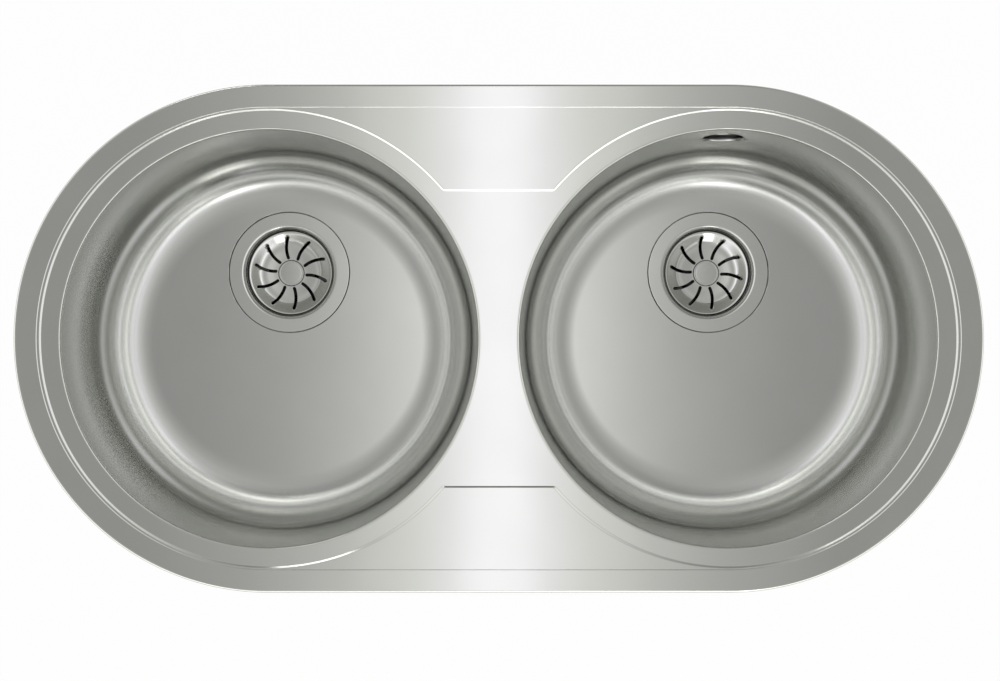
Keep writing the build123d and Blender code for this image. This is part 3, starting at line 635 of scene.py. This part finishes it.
def cup_skin(shell, x, sheet):
    """One face of the cup, as its open loops: the flange's edge and the holes."""
    top = flange_top - sheet
    wall = 40.7 + sheet
    edge = [(56.8, top)] if sheet else [(56.8, top - 0.3), (56.7, top - 0.1), (56.5, top)]
    outline = [*edge, (56.2, top), (45.9, top), (45.5, top)]
    for radius, fall, lean in cup_mouth:
        outline.append((radius + sheet * sin(radians(lean)), flange_top - fall - sheet * cos(radians(lean))))
    outline += [(wall, -169.0 - sheet), (wall, -172.0 - sheet), (40.3, -172.1 - sheet), (40.2, -171.1 - sheet)]
    outline += [(39.2 + sheet, -171.0 - sheet), (38.75 + sheet, -171.3 - sheet), (38.7 + sheet, -172.0 - sheet)]
    outline += arc(35.7, -197.0, 3.0 + sheet, 0.0, -pi / 2, 6)
    rows = turned(shell, x, drain_y, outline, closed=False)
    floor = outline[-1][1] * mm
    drains = arc(x, drain_y, cup_hole_circle * mm, 0.0, 1.5 * pi, 3)
    holes = [shell.loop(circle(x, drain_y, screw_hole * mm, floor, 32))]
    holes += [shell.loop(circle(*drain, cup_hole * mm, floor, 32)) for drain in drains]

    def clear(at):
        beside = min(apart(at, *drain) for drain in drains)
        return apart(at, x, drain_y) > screw_hole * mm and beside > cup_hole * mm

    shell.fill(rows[-1], holes, keep=clear)
    return [rows[0], *holes]


cup_grain = brushed_round(drain_y, 2200.0)


def painted_cup_shade(paint, tone):
    """Painted shade: below its flange the cup is painted near black, for the shade in the gap round the basket.
    """
    z = paint.place()[2]
    darker = paint.ramp((z + 0.175) * 60.0, (0.0, 0.94), (0.25, 0.92), (0.45, 0.85), (0.70, 0.70), (0.85, 0.0))
    return paint.mixed(darker, tone, (0.035, 0.034, 0.031, 1.0))


# the cup's colour carries painted shade below its flange
cup_steel = steel("cup_steel", (0.520, 0.526, 0.496), 0.15, cup_grain, 0.000008, 0.03, painted_light=painted_cup_shade)
for side, x in bowl_places.items():
    shell = Shell()
    for first, second in zip(cup_skin(shell, x, 0.0), cup_skin(shell, x, cup_sheet)):
        shell.band(first, second)
    cup = shell.piece(f"strainer_cup_{side}_pressing", 40, cup_steel)
    dressed(cup, "sink", f"strainer_cup_{side}")

# ------------------------------------------------------------------ strainer baskets
# A dish of polished steel sheet that hangs in the cup by its flat lip. Ten curved slots are
# punched round its hub, across the soft ridge that stiffens it.
slot_phases = {"left": 101.0, "right": 104.0}
slot_half_width = 1.35
slot_burr = 0.18
slot_ends = (14.9, 0.0), (33.8 * cos(radians(6.0)), -33.8 * sin(radians(6.0)))
slot_bow = 1.65
rivet_hole = 3.05
dish = [(12.0, -178.0), (16.0, -177.75), (20.0, -177.1), (23.0, -176.55), (25.0, -176.40), (26.8, -176.38),
        (28.4, -176.1), (29.6, -175.65), (31.0, -174.95), (33.0, -173.80), (35.2, -172.50), (36.6, -171.68),
        (37.8, -170.98), (38.6, -170.60), (39.2, -170.45), (39.7, -170.50), (39.9, -170.7)]
# the radii of the dish's face, between its hub and the shoulder under its lip
dish_rings = [8.0, 12.0, 14.0, 16.0, 18.0, 20.0, 21.5, 23.0, 24.0, 25.0, 26.0, 26.8, 27.6, 28.4, 29.0, 29.6,
              30.3, 31.0, 32.0, 33.0, 34.1, 35.2]


def dish_height(radius):
    """The dish's top face at a radius, in millimetres."""
    if radius <= dish[0][0]:
        return dish[0][1]
    for (near, low), (far, high) in zip(dish, dish[1:]):
        if radius <= far:
            return low + (high - low) * (radius - near) / (far - near)
    return dish[-1][1]


def slot_outline(phase, half_width):
    """Points round one slot, anticlockwise, with round ends."""
    start, end = (Vector(point) for point in slot_ends)
    along = end - start
    reach = along.length / 2
    bend = (reach**2 + slot_bow**2) / (2 * slot_bow)
    left = Vector((-along.y, along.x)).normalized()
    centre = (start + end) / 2 - left * (bend - slot_bow)
    first, last = (atan2(left.y, left.x) + side * asin(reach / bend) for side in (-1, 1))
    outline = arc(*centre, bend + half_width, first, last, 14)
    outline += arc(*start, half_width, last, last + pi, 8)[1:-1]
    outline += arc(*centre, bend - half_width, last, first, 14)
    outline += arc(*end, half_width, first + pi, first + 2 * pi, 8)[1:-1]
    spin = radians(phase)
    return [(x * cos(spin) - y * sin(spin), x * sin(spin) + y * cos(spin)) for x, y in outline]


def within(point, outline):
    """Whether a point lies inside a closed outline."""
    inside = False
    for (ax, ay), (bx, by) in zip(outline, outline[1:] + outline[:1]):
        if (ay > point[1]) != (by > point[1]) and point[0] < (bx - ax) * (point[1] - ay) / (by - ay) + ax:
            inside = not inside
    return inside


def basket_skin(shell, x, phase, sheet):
    """One face of the dish, as its open loops: the lip's edge, the rivet's hole and the slots."""

    def lifted(px, py, drop=0.0):
        return px, py, (dish_height(apart((px, py), x, drain_y) / mm) - sheet - drop) * mm

    def loop_at(points, drop=0.0):
        return shell.loop([lifted(x + px * mm, drain_y + py * mm, drop) for px, py in points])

    edge_radius, edge_height = (dish[-1][0] - 0.3, dish[-1][1] - 0.4) if sheet else dish[-1]
    rim = shell.loop(circle(x, drain_y, edge_radius * mm, edge_height * mm, 200))
    shoulders = []
    for radius, z in dish[-2:-7:-1]:
        shoulders.append(shell.loop(circle(x, drain_y, radius * mm, (z - sheet) * mm, 200)))
    shell.bands([rim, *shoulders])
    rivet = shell.loop(circle(x, drain_y, rivet_hole * mm, (dish[0][1] - sheet) * mm, 24))
    turns = [phase + 36.0 * k for k in range(10)]
    wide = [slot_outline(turn, slot_half_width + slot_burr) for turn in turns]
    slots = []
    for turn, outline in zip(turns, wide):
        edge = loop_at(outline)
        slots.append((edge, loop_at(slot_outline(turn, slot_half_width), -slot_burr if sheet else slot_burr)))
    guards = [slot_outline(turn, slot_half_width + slot_burr + 0.35) for turn in turns]
    spread = []
    for radius in dish_rings:
        count = 60 if radius < 15 else 120
        half_step = pi / count
        spread += arc(0.0, 0.0, radius, half_step, 2 * pi + half_step, count)[:-1]
    spread = [(x + px * mm, drain_y + py * mm) for px, py in spread
              if not any(within((px, py), guard) for guard in guards)]

    def kept(at):
        off = (at[0] - x) / mm, (at[1] - drain_y) / mm
        return hypot(*off) > rivet_hole and not any(within(off, outline) for outline in wide)

    shell.fill(shoulders[-1], [rivet, *(edge for edge, _ in slots)], lifted, spread, kept)
    for edge, throat in slots:
        shell.band(edge, throat)
    return [rim, rivet, *(throat for _, throat in slots)]


basket_steel = steel("basket_steel", (0.520, 0.526, 0.496), 0.15, cup_grain, 0.000006, 0.02)
for side, x in bowl_places.items():
    shell = Shell()
    for first, second in zip(*(basket_skin(shell, x, slot_phases[side], sheet) for sheet in (0.0, cup_sheet))):
        shell.band(first, second)
    basket = shell.piece(f"basket_{side}_dish", 40, basket_steel)
    dressed(basket, f"basket_{side}", f"basket_shell_{side}")

# ------------------------------------------------------------------ basket knobs
# A turned steel cap over the rivet in the basket's centre, with a rounded edge and one fine ring
# cut into its top.
knob_outline = softened([(0.0, -177.0), (3.05, -177.0), (3.05, -178.0), (12.8, -178.0), (11.9, -176.2),
                         (10.9, -176.2)], 0.55)
knob_outline += [(10.6, -176.24), (10.4, -176.4), (10.0, -176.44), (9.7, -176.32), (9.3, -176.28),
                 (0.0, -176.28)]


def painted_knob_shade(paint, tone):
    """Painted shade: a dark line where the cap meets the dish."""
    dark = paint.ramp((paint.place()[2] + 0.178) * 500.0, (0.2, 0.9), (0.8, 0.0))
    return paint.mixed(dark, tone, (0.03, 0.03, 0.028, 1.0))


# the cap's colour carries painted shade round its foot
knob_steel = steel("knob_steel", (0.480, 0.485, 0.460), 0.20, cup_grain, 0.000006, 0.02, painted_light=painted_knob_shade)
for side, x in bowl_places.items():
    shell = Shell()
    turned(shell, x, drain_y, knob_outline, 120)
    knob = shell.piece(f"basket_knob_{side}_cap", 60, knob_steel)
    dressed(knob, f"basket_{side}", f"basket_knob_{side}")

# ------------------------------------------------------------------ stoppers under the baskets
# A steel post riveted through the dish carries a moulded plate with a rubber stopper, and a split
# spring ring on its pin that snaps into the clamping screw to hold the basket up or down.
post_outline = [(0.0, -192.8), (5.0, -192.8), (5.0, -178.8), (3.0, -178.8), (3.0, -177.0), (0.0, -177.0)]
stopper_outline = [(9.0, -199.8), (22.6, -199.8), (23.2, -199.2), (24.0, -199.2), (24.0, -196.6),
                   (23.2, -196.4), (22.8, -195.8), (9.0, -195.8)]
carrier_outline = [(0.0, -202.8), (1.7, -202.8), (2.4, -202.0), (2.4, -201.6), (1.8, -201.6), (1.8, -200.3),
                   (2.4, -200.3), (2.4, -195.8), (22.5, -195.8), (22.5, -194.4), (20.8, -193.2), (8.6, -192.8),
                   (0.0, -192.8)]


def moulded(name, colour, roughness, grain, depth):
    """Plastic, rubber or foam: a fine moulded grain with slightly uneven colour and gloss."""
    paint = Finish(name)
    x, y, z = paint.place()
    pits = paint.noise(x * (1 / grain), y * (1 / grain), z * (1 / grain), 2.0)
    patches = paint.noise(x * 30.0, y * 30.0, z * 30.0, 4.0)
    darker, bright = (tuple(part * level for part in colour) for level in (0.86, 1.06))
    tone = paint.ramp(patches, (0.3, darker), (0.7, bright))
    shine = roughness + (patches - 0.5) * 0.15 + (pits - 0.5) * 0.08
    relief = paint.add("ShaderNodeBump", None, Distance=depth, Height=pits)
    return paint.shaded(tone, shine, relief, metallic=0.0)


def under_basket(side, node, shape, corners, radius, material, count=96):
    """A turned piece that hangs under a basket, with softened edges."""
    shell = Shell()
    turned(shell, bowl_places[side], drain_y, softened(corners, radius), count)
    made = shell.piece(f"{node}_{side}_{shape}", 50, material)
    dressed(made, f"basket_{side}", f"{node}_{side}")


def finished(node, material):
    """Gives a plain node, whose shape is right as it is, its finish."""
    nodes[node].data.materials.clear()
    nodes[node].data.materials.append(material)


post_steel = steel("post_steel", (0.480, 0.485, 0.465), 0.22, cup_grain, 0.00001, 0.02)
stopper_rubber = moulded("stopper_rubber", (0.022, 0.022, 0.023), 0.62, 0.0006, 0.00003)
carrier_plastic = moulded("carrier_plastic", (0.03, 0.03, 0.032), 0.42, 0.0009, 0.00001)
for side in bowl_places:
    under_basket(side, "basket_stem", "post", post_outline, 0.3, post_steel, 48)
    under_basket(side, "basket_stopper", "ring", stopper_outline, 0.35, stopper_rubber)
    under_basket(side, "stopper_carrier", "plate", carrier_outline, 0.3, carrier_plastic)
    finished(f"basket_catch_{side}", post_steel)

# ------------------------------------------------------------------ overflow
# A polished rosette with six holes in the right bowl's back wall, held by a slotted steel screw
# that pulls the moulded head and its rubber ring against the wall from behind.
overflow_x = bowl_places["right"]
rosette_holes = arc(0.0, 0.0, 7.6, pi / 2, pi / 2 + 5 / 3 * pi, 5)
rosette_rim = 2.7
rosette_throat = 2.5
rosette_screw_hole = 2.45
rosette_front = [(17.6, 0.2), (17.55, 0.7), (17.3, 0.95), (17.0, 1.0), (13.9, 1.0), (13.3, 0.85), (12.8, 0.4),
                 (12.6, -0.2), (12.5, -1.0), (12.0, -1.4), (11.2, -1.5)]
rosette_back = [(17.3, 0.0), (13.6, 0.0), (13.6, -1.9), (13.1, -2.4), (12.5, -2.5)]
screw_crown = 1.58
screw_head = [(2.4, 0.0), (4.2, 0.0), (4.2, 0.75), (4.05, 1.05), (3.6, 1.35), (2.9, 1.52)]
screw_shank = [(2.4, -12.4), (1.8, -13.0), (0.0, -13.0)]
screw_slot = [(x * mm, y * mm) for x, y in ((-2.6, -0.5), (2.6, -0.5), (2.6, 0.5), (-2.6, 0.5))]


def turned_back(shell, face):
    """Stands a shell, made flat and facing up, against the back wall at face."""
    shell.corners = [(overflow_x + px, face - pz, overflow_height + py) for px, py, pz in shell.corners]


def rosette_skin(shell, outline):
    """One face of the rosette, as its open loops: its edge, the screw's hole and the six throats."""
    rows = turned(shell, 0.0, 0.0, outline, 120, closed=False)
    face = outline[-1][1] * mm
    holes = [shell.loop(circle(0.0, 0.0, rosette_screw_hole * mm, face, 32))]
    throats = [holes[0]]
    for px, py in rosette_holes:
        rim = shell.loop(circle(px * mm, py * mm, rosette_rim * mm, face, 32))
        throat = shell.loop(circle(px * mm, py * mm, rosette_throat * mm, face * 0.9, 32))
        holes.append(rim)
        throats.append(shell.band(rim, throat))

    def clear(at):
        beside = min(apart(at, px * mm, py * mm) for px, py in rosette_holes)
        return hypot(*at) > rosette_screw_hole * mm and beside > rosette_rim * mm

    shell.fill(rows[-1], holes, keep=clear)
    return [rows[0], *throats]


def painted_rosette_shade(paint, tone):
    """Painted shade: the grating's upper part is painted dark, for the shade under the recess's upper lip."""
    dark = paint.ramp((paint.place()[2] - overflow_height) * 50.0 + 0.5, (0.25, 0.1), (0.45, 0.85))
    return paint.mixed(dark, tone, (0.03, 0.03, 0.028, 1.0))


# the rosette's colour carries painted shade on its upper part
rosette_steel = steel("rosette_steel", (0.500, 0.505, 0.478), 0.17, brushed_along, 0.000005, 0.02,
                      painted_light=painted_rosette_shade)
shell = Shell()
for first, second in zip(rosette_skin(shell, rosette_front), rosette_skin(shell, rosette_back)):
    shell.band(first, second)
turned_back(shell, overflow_back)
rosette = shell.piece("overflow_rosette_pressing", 45, rosette_steel)
dressed(rosette, "sink", "overflow_rosette")

shell = Shell()
rows = turned(shell, 0.0, 0.0, screw_head, 64, closed=False)
slot_rim, slot_floor = (shell.loop([(*corner, z * mm) for corner in screw_slot]) for z in (screw_crown, 0.8))
shell.band(slot_rim, slot_floor)
shell.faces.append(tuple(slot_floor))
shell.fill(rows[-1], [slot_rim], keep=lambda at: not within(at, screw_slot))
shank = turned(shell, 0.0, 0.0, screw_shank, 64, closed=False)
shell.band(rows[0], shank[0])
turned_back(shell, overflow_back + 1.5 * mm)
overflow_screw = shell.piece("overflow_screw_slotted", 35, post_steel)
dressed(overflow_screw, "sink", "overflow_screw")

white_plastic = moulded("white_plastic", (0.74, 0.74, 0.725), 0.38, 0.0011, 0.00001)
gasket_rubber = moulded("gasket_rubber", (0.03, 0.03, 0.031), 0.68, 0.0005, 0.00003)
finished("overflow_head", white_plastic)
finished("overflow_gasket", gasket_rubber)

# ------------------------------------------------------------------ overflow hose
# A corrugated white plastic hose from the overflow's head to the right waste body, with a plain
# cuff pushed over each spigot and held by a zinc plated spring band.
hose_bend = 45.0 * mm
hose_top = -64.0 * mm
hose_axis_y = 195.38 * mm
inlet_height = -190.0 * mm
hose_end_y = 116.5 * mm
bend_y = hose_axis_y - hose_bend
bend_z = inlet_height + hose_bend
route = [(hose_axis_y, hose_top - (hose_top - bend_z) * i / 40) for i in range(40)]
route += arc(bend_y, bend_z, hose_bend, 0.0, -pi / 2, 60)
route += [(bend_y - (bend_y - hose_end_y) * i / 20, inlet_height) for i in range(1, 21)]


class Forming(Finish):
    """A Geometry Nodes tree with named sizes, filled in the same way as a finish."""

    def __init__(self, name, **sizes):
        tree = bpy.data.node_groups.new(name, "GeometryNodeTree")
        self.nodes, self.links, self.tree, self.sizes = tree.nodes, tree.links, tree, sizes
        tree.interface.new_socket("Geometry", in_out="INPUT", socket_type="NodeSocketGeometry")
        tree.interface.new_socket("Geometry", in_out="OUTPUT", socket_type="NodeSocketGeometry")
        for size in sizes:
            tree.interface.new_socket(size, in_out="INPUT", socket_type="NodeSocketFloat")
        self.entry = self.nodes.new("NodeGroupInput")

    def given(self, *names):
        """The tree's inputs by name."""
        return [Socket(self, self.entry.outputs[name]) for name in names]

    def formed(self, geometry, start, name, material):
        """Ends the tree, runs it on the start object and gives back the plain mesh object."""
        real = self.add("GeometryNodeRealizeInstances", None, geometry)
        painted = self.add("GeometryNodeSetMaterial", None, real, Material=material)
        self.add("NodeGroupOutput", None, painted)
        scene.collection.objects.link(start)
        modifier = start.modifiers.new("forming", "NODES")
        modifier.node_group = self.tree
        for item in self.tree.interface.items_tree:
            if item.in_out == "INPUT" and item.name in self.sizes:
                modifier[item.identifier] = self.sizes[item.name]
        graph = bpy.context.evaluated_depsgraph_get()
        mesh = bpy.data.meshes.new_from_object(start.evaluated_get(graph))
        bpy.data.objects.remove(start)
        made = bpy.data.objects.new(name, mesh)
        scene.collection.objects.link(made)
        return made


def route_of(name, points):
    """A plain curve through points, for a tree to follow."""
    curve = bpy.data.curves.new(name, "CURVE")
    curve.dimensions = "3D"
    line = curve.splines.new("POLY")
    line.points.add(len(points) - 1)
    for point, place in zip(line.points, points):
        point.co = (*place, 1.0)
    return bpy.data.objects.new(name, curve)


ribbing = Forming("ribbed_hose", cuff_radius=11.4 * mm, root_radius=10.15 * mm, crest_radius=12.2 * mm,
                  bore_radius=9.0 * mm, cuff_length=24.0 * mm, cuff_step=1.2 * mm, ribs=14.0)
geometry, cuff_radius, root_radius, crest_radius, bore_radius, cuff_length, cuff_step, ribs = ribbing.given(
    "Geometry", "cuff_radius", "root_radius", "crest_radius", "bore_radius", "cuff_length", "cuff_step", "ribs")
line = ribbing.add("GeometryNodeResampleCurve", {"mode": "COUNT"}, geometry, Count=520)
along = ribbing.add("GeometryNodeSplineParameter", out="Length")
whole = ribbing.add("GeometryNodeCurveLength", None, line)
cycle = (along - cuff_length).maths("DIVIDE", whole - cuff_length * 2.0) * ribs
plump = (0.5 - (cycle * (2 * pi)).maths("COSINE") * 0.5).maths("POWER", 0.6)
rib_radius = root_radius + plump * (crest_radius - root_radius)
from_end = along.maths("MINIMUM", whole - along)
past_cuff = ribbing.add("ShaderNodeMapRange", {"interpolation_type": "SMOOTHSTEP"}, from_end,
                        cuff_length - cuff_step, cuff_length + cuff_step, 0.0, 1.0)
outside = cuff_radius * (1.0 - past_cuff) + rib_radius * past_cuff
ring = ribbing.add("GeometryNodeCurvePrimitiveCircle", None, 64, Radius=1.0)
skin = ribbing.add("GeometryNodeCurveToMesh", None, line, ring, outside)
bore = ribbing.add("GeometryNodeCurveToMesh", None, line, ring, bore_radius)
bore = ribbing.add("GeometryNodeFlipFaces", None, bore)
both = ribbing.add("GeometryNodeJoinGeometry", None, skin)
ribbing.links.new(bore.socket, both.socket.node.inputs[0])
hose_plastic = moulded("hose_plastic", (0.70, 0.70, 0.685), 0.33, 0.0014, 0.000008)
hose_start = route_of("hose_route", [(overflow_x, y, z) for y, z in route])
hose = ribbing.formed(both, hose_start, "overflow_hose_ribbed", hose_plastic)


def closed_ends(made, sharp):
    """Joins the open rings at a tube's two ends, and marks its sharp edges."""
    work = bmesh.new()
    work.from_mesh(made.data)
    bmesh.ops.remove_doubles(work, verts=work.verts, dist=1e-7)
    open_edges = [edge for edge in work.edges if edge.is_boundary]
    middle = sum((edge.verts[0].co for edge in open_edges), Vector()) / len(open_edges)
    upper = [edge for edge in open_edges if edge.verts[0].co.z > middle.z]
    for rings in (upper, [edge for edge in open_edges if edge not in upper]):
        bmesh.ops.bridge_loops(work, edges=rings)
    bmesh.ops.recalc_face_normals(work, faces=work.faces)
    for face in work.faces:
        face.smooth = True
    for edge in work.edges:
        edge.smooth = edge.calc_face_angle(0.0) < radians(sharp)
    work.to_mesh(made.data)
    work.free()


closed_ends(hose, 50)
dressed(hose, "sink", "overflow_hose")


def plated(name, colour, roughness):
    """Zinc plate: soft spangles with a faint warm tint, rubbed bright in places."""
    paint = Finish(name)
    x, y, z = paint.place()
    spangle = paint.noise(x * 220.0, y * 220.0, z * 220.0, 1.0)
    wear_and_sheen = paint.noise(x * 45.0, y * 45.0, z * 45.0, 4.0)
    warm = tuple(part * level for part, level in zip(colour, (0.92, 0.88, 0.78)))
    tone = paint.ramp(wear_and_sheen + (spangle - 0.5) * 0.4, (0.32, warm), (0.62, colour))
    relief = paint.add("ShaderNodeBump", None, Distance=0.00001, Height=spangle)
    return paint.shaded(tone, roughness + (spangle - 0.5) * 0.18 + (wear_and_sheen - 0.5) * 0.1, relief)


zinc_plate = plated("zinc_plate", (0.52, 0.53, 0.52), 0.36)
finished("hose_clips", zinc_plate)
finished("clip_lugs", zinc_plate)

# ------------------------------------------------------------------ waste bodies
# A white moulded funnel under each bowl, with a flat clamping flange, a boss on three ribs that
# holds the brass insert, and a threaded outlet for the trap. The right one takes the hose.
waste_outline = [(57.0, -165.3), (57.0, -169.3), (47.3, -169.3), (47.3, -203.8), (22.5, -222.8), (22.5, -245.8),
                 (20.0, -245.8), (20.0, -222.8), (44.3, -203.8), (44.3, -165.3)]
boss_outline = [(10.5, -200.8), (10.5, -218.8), (7.55, -218.8), (7.55, -202.8), (5.05, -202.8), (5.05, -200.8)]
rib_outline = [(9.5, -203.8), (44.8, -203.8), (34.6, -211.8), (9.5, -211.8)]
rib_half_thickness = 1.5
inlet_outline = [(7.3, 45.2), (8.9, 45.2), (8.9, 62.0), (7.3, 62.0)]
outlet_thread = {"radius": 22.55 * mm, "pitch": 2.309 * mm, "turns": 8.5, "ridge": 1.3 * mm,
                 "foot": -243.9 * mm}


def thread(name, x, y, material, around=96, **sizes):
    """The ridge of a screw thread that stands at (x, y), wound by Geometry Nodes. Its sizes are
    radius, pitch, turns, ridge and foot."""
    winding = Forming(name, middle_x=x, middle_y=y, **sizes)
    middle_x, middle_y, radius, pitch, turns, ridge, foot = winding.given(
        "middle_x", "middle_y", "radius", "pitch", "turns", "ridge", "foot")
    spiral = winding.add("GeometryNodeCurveSpiral", {}, around, turns, radius, radius, pitch * turns)
    upright_spiral = winding.add("GeometryNodeSetCurveNormal", {"mode": "Z_UP"}, spiral)
    section = winding.add("GeometryNodeCurvePrimitiveCircle", None, 4, Radius=ridge)
    wound = winding.add("GeometryNodeCurveToMesh", None, upright_spiral, section, Fill_Caps=True)
    place = winding.add("ShaderNodeCombineXYZ", None, middle_x, middle_y, foot)
    moved = winding.add("GeometryNodeTransform", None, wound, Translation=place)
    start = bpy.data.objects.new(name + "_start", bpy.data.meshes.new(name))
    return winding.formed(moved, start, name, material)


def joined(name, pieces):
    """One object out of several whose places are already in their meshes."""
    work = bmesh.new()
    for piece in pieces:
        work.from_mesh(piece.data)
    made = pieces[0]
    work.to_mesh(made.data)
    work.free()
    for piece in pieces[1:]:
        bpy.data.objects.remove(piece)
    made.name = name
    return made


for side, x in bowl_places.items():
    shell = Shell()
    turned(shell, x, drain_y, softened(waste_outline, 0.8))
    turned(shell, x, drain_y, softened(boss_outline, 0.4), 64)
    for k in range(3):
        turn = pi / 2 + 2 * pi / 3 * k
        out, across = Vector((cos(turn), sin(turn))), Vector((-sin(turn), cos(turn)))
        cheeks = []
        for half in (-rib_half_thickness, rib_half_thickness):
            flat = [(out * radius + across * half, z) for radius, z in rib_outline]
            cheeks.append(shell.loop([(x + at.x * mm, drain_y + at.y * mm, z * mm) for at, z in flat]))
        shell.band(*cheeks)
        shell.faces += [tuple(cheeks[0]), tuple(cheeks[1])]
    if side == "right":
        rows = []
        for radius, reach in softened(inlet_outline, 0.4):
            mouth = circle(x, inlet_height, radius * mm, 0.0, 64)
            rows.append(shell.loop([(px, drain_y + reach * mm, pz) for px, pz, _ in mouth]))
        shell.bands(rows + rows[:1])
    name = f"waste_body_{side}_moulding"
    funnel = shell.piece(name, 40, white_plastic)
    ridge = thread(f"outlet_thread_{side}", x, drain_y, white_plastic, **outlet_thread)
    dressed(joined(name, [funnel, ridge]), "sink", f"waste_body_{side}")

# ------------------------------------------------------------------ clamping screws and seals
# A turned steel screw pulls each cup down into the brass insert of its waste body. One rubber
# ring seals the cup's flange on the bowl, and another the waste body under it.
insert_brass = steel("insert_brass", (0.62, 0.44, 0.18), 0.28, cup_grain, 0.00001, 0.01)
for side in bowl_places:
    finished(f"strainer_screw_{side}", post_steel)
    finished(f"screw_insert_{side}", insert_brass)
    finished(f"flange_gasket_{side}", gasket_rubber)
    finished(f"waste_gasket_{side}", gasket_rubber)

# ------------------------------------------------------------------ rim seal and damping pads
# A strip of closed cell foam under the deck's edge, and a bitumen pad glued under each bowl's
# floor, both cut from sheet.
seal_foam = moulded("seal_foam", (0.055, 0.055, 0.058), 0.85, 0.0007, 0.0001)
pad_bitumen = moulded("pad_bitumen", (0.040, 0.039, 0.038), 0.78, 0.0022, 0.00012)
finished("rim_seal", seal_foam)
finished("sound_pad_left", pad_bitumen)
finished("sound_pad_right", pad_bitumen)

# ------------------------------------------------------------------ fixing clips
# Eight stamped claws of zinc plated steel, each carried by the head of a screw that runs in the
# nut on its bracket and pulls the claw's teeth up against the worktop.
screw_foot = -42.2
screw_head_top = -39.2
screw_top = -1.0
hex_corner = 5.0
clip_thread = {"radius": 2.1 * mm, "pitch": 0.8 * mm, "turns": 45.5, "ridge": 0.38 * mm, "foot": -38.6 * mm}


def hex_loop(shell, x, y, z, cap):
    """A six-sided loop of 48 points, rounded to the radius cap where its corners pass it."""
    points = []
    for i in range(48):
        turn = 2 * pi * i / 48
        radius = min(cap, hex_corner * cos(pi / 6) / cos(turn % (pi / 3) - pi / 6))
        points.append((x + radius * mm * cos(turn), y + radius * mm * sin(turn), z * mm))
    return shell.loop(points)


for number in range(1, 9):
    low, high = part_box(f"clip_screw_{number}")
    x, y = (low[0] + high[0]) / 2, (low[1] + high[1]) / 2
    shell = Shell()
    rows = [shell.loop(circle(x, y, 0.0, screw_foot * mm, 48))]
    for rise, cap in ((0.0, 4.2), (0.18, 4.6), (0.45, hex_corner)):
        rows.append(hex_loop(shell, x, y, screw_foot + rise, cap))
    for fall, cap in ((0.35, hex_corner), (0.0, 4.45)):
        rows.append(hex_loop(shell, x, y, screw_head_top - fall, cap))
    for radius, z in ((2.05, screw_head_top), (2.05, screw_top - 0.6), (1.5, screw_top), (0.0, screw_top)):
        rows.append(shell.loop(circle(x, y, radius * mm, z * mm, 48)))
    shell.bands(rows)
    name = f"clip_screw_{number}_hexagon"
    screw = shell.piece(name, 25, zinc_plate)
    ridge = thread(f"clip_thread_{number}", x, y, zinc_plate, 20, **clip_thread)
    dressed(joined(name, [screw, ridge]), f"clip_{number}_screw", f"clip_screw_{number}")
    finished(f"clip_claw_{number}", zinc_plate)
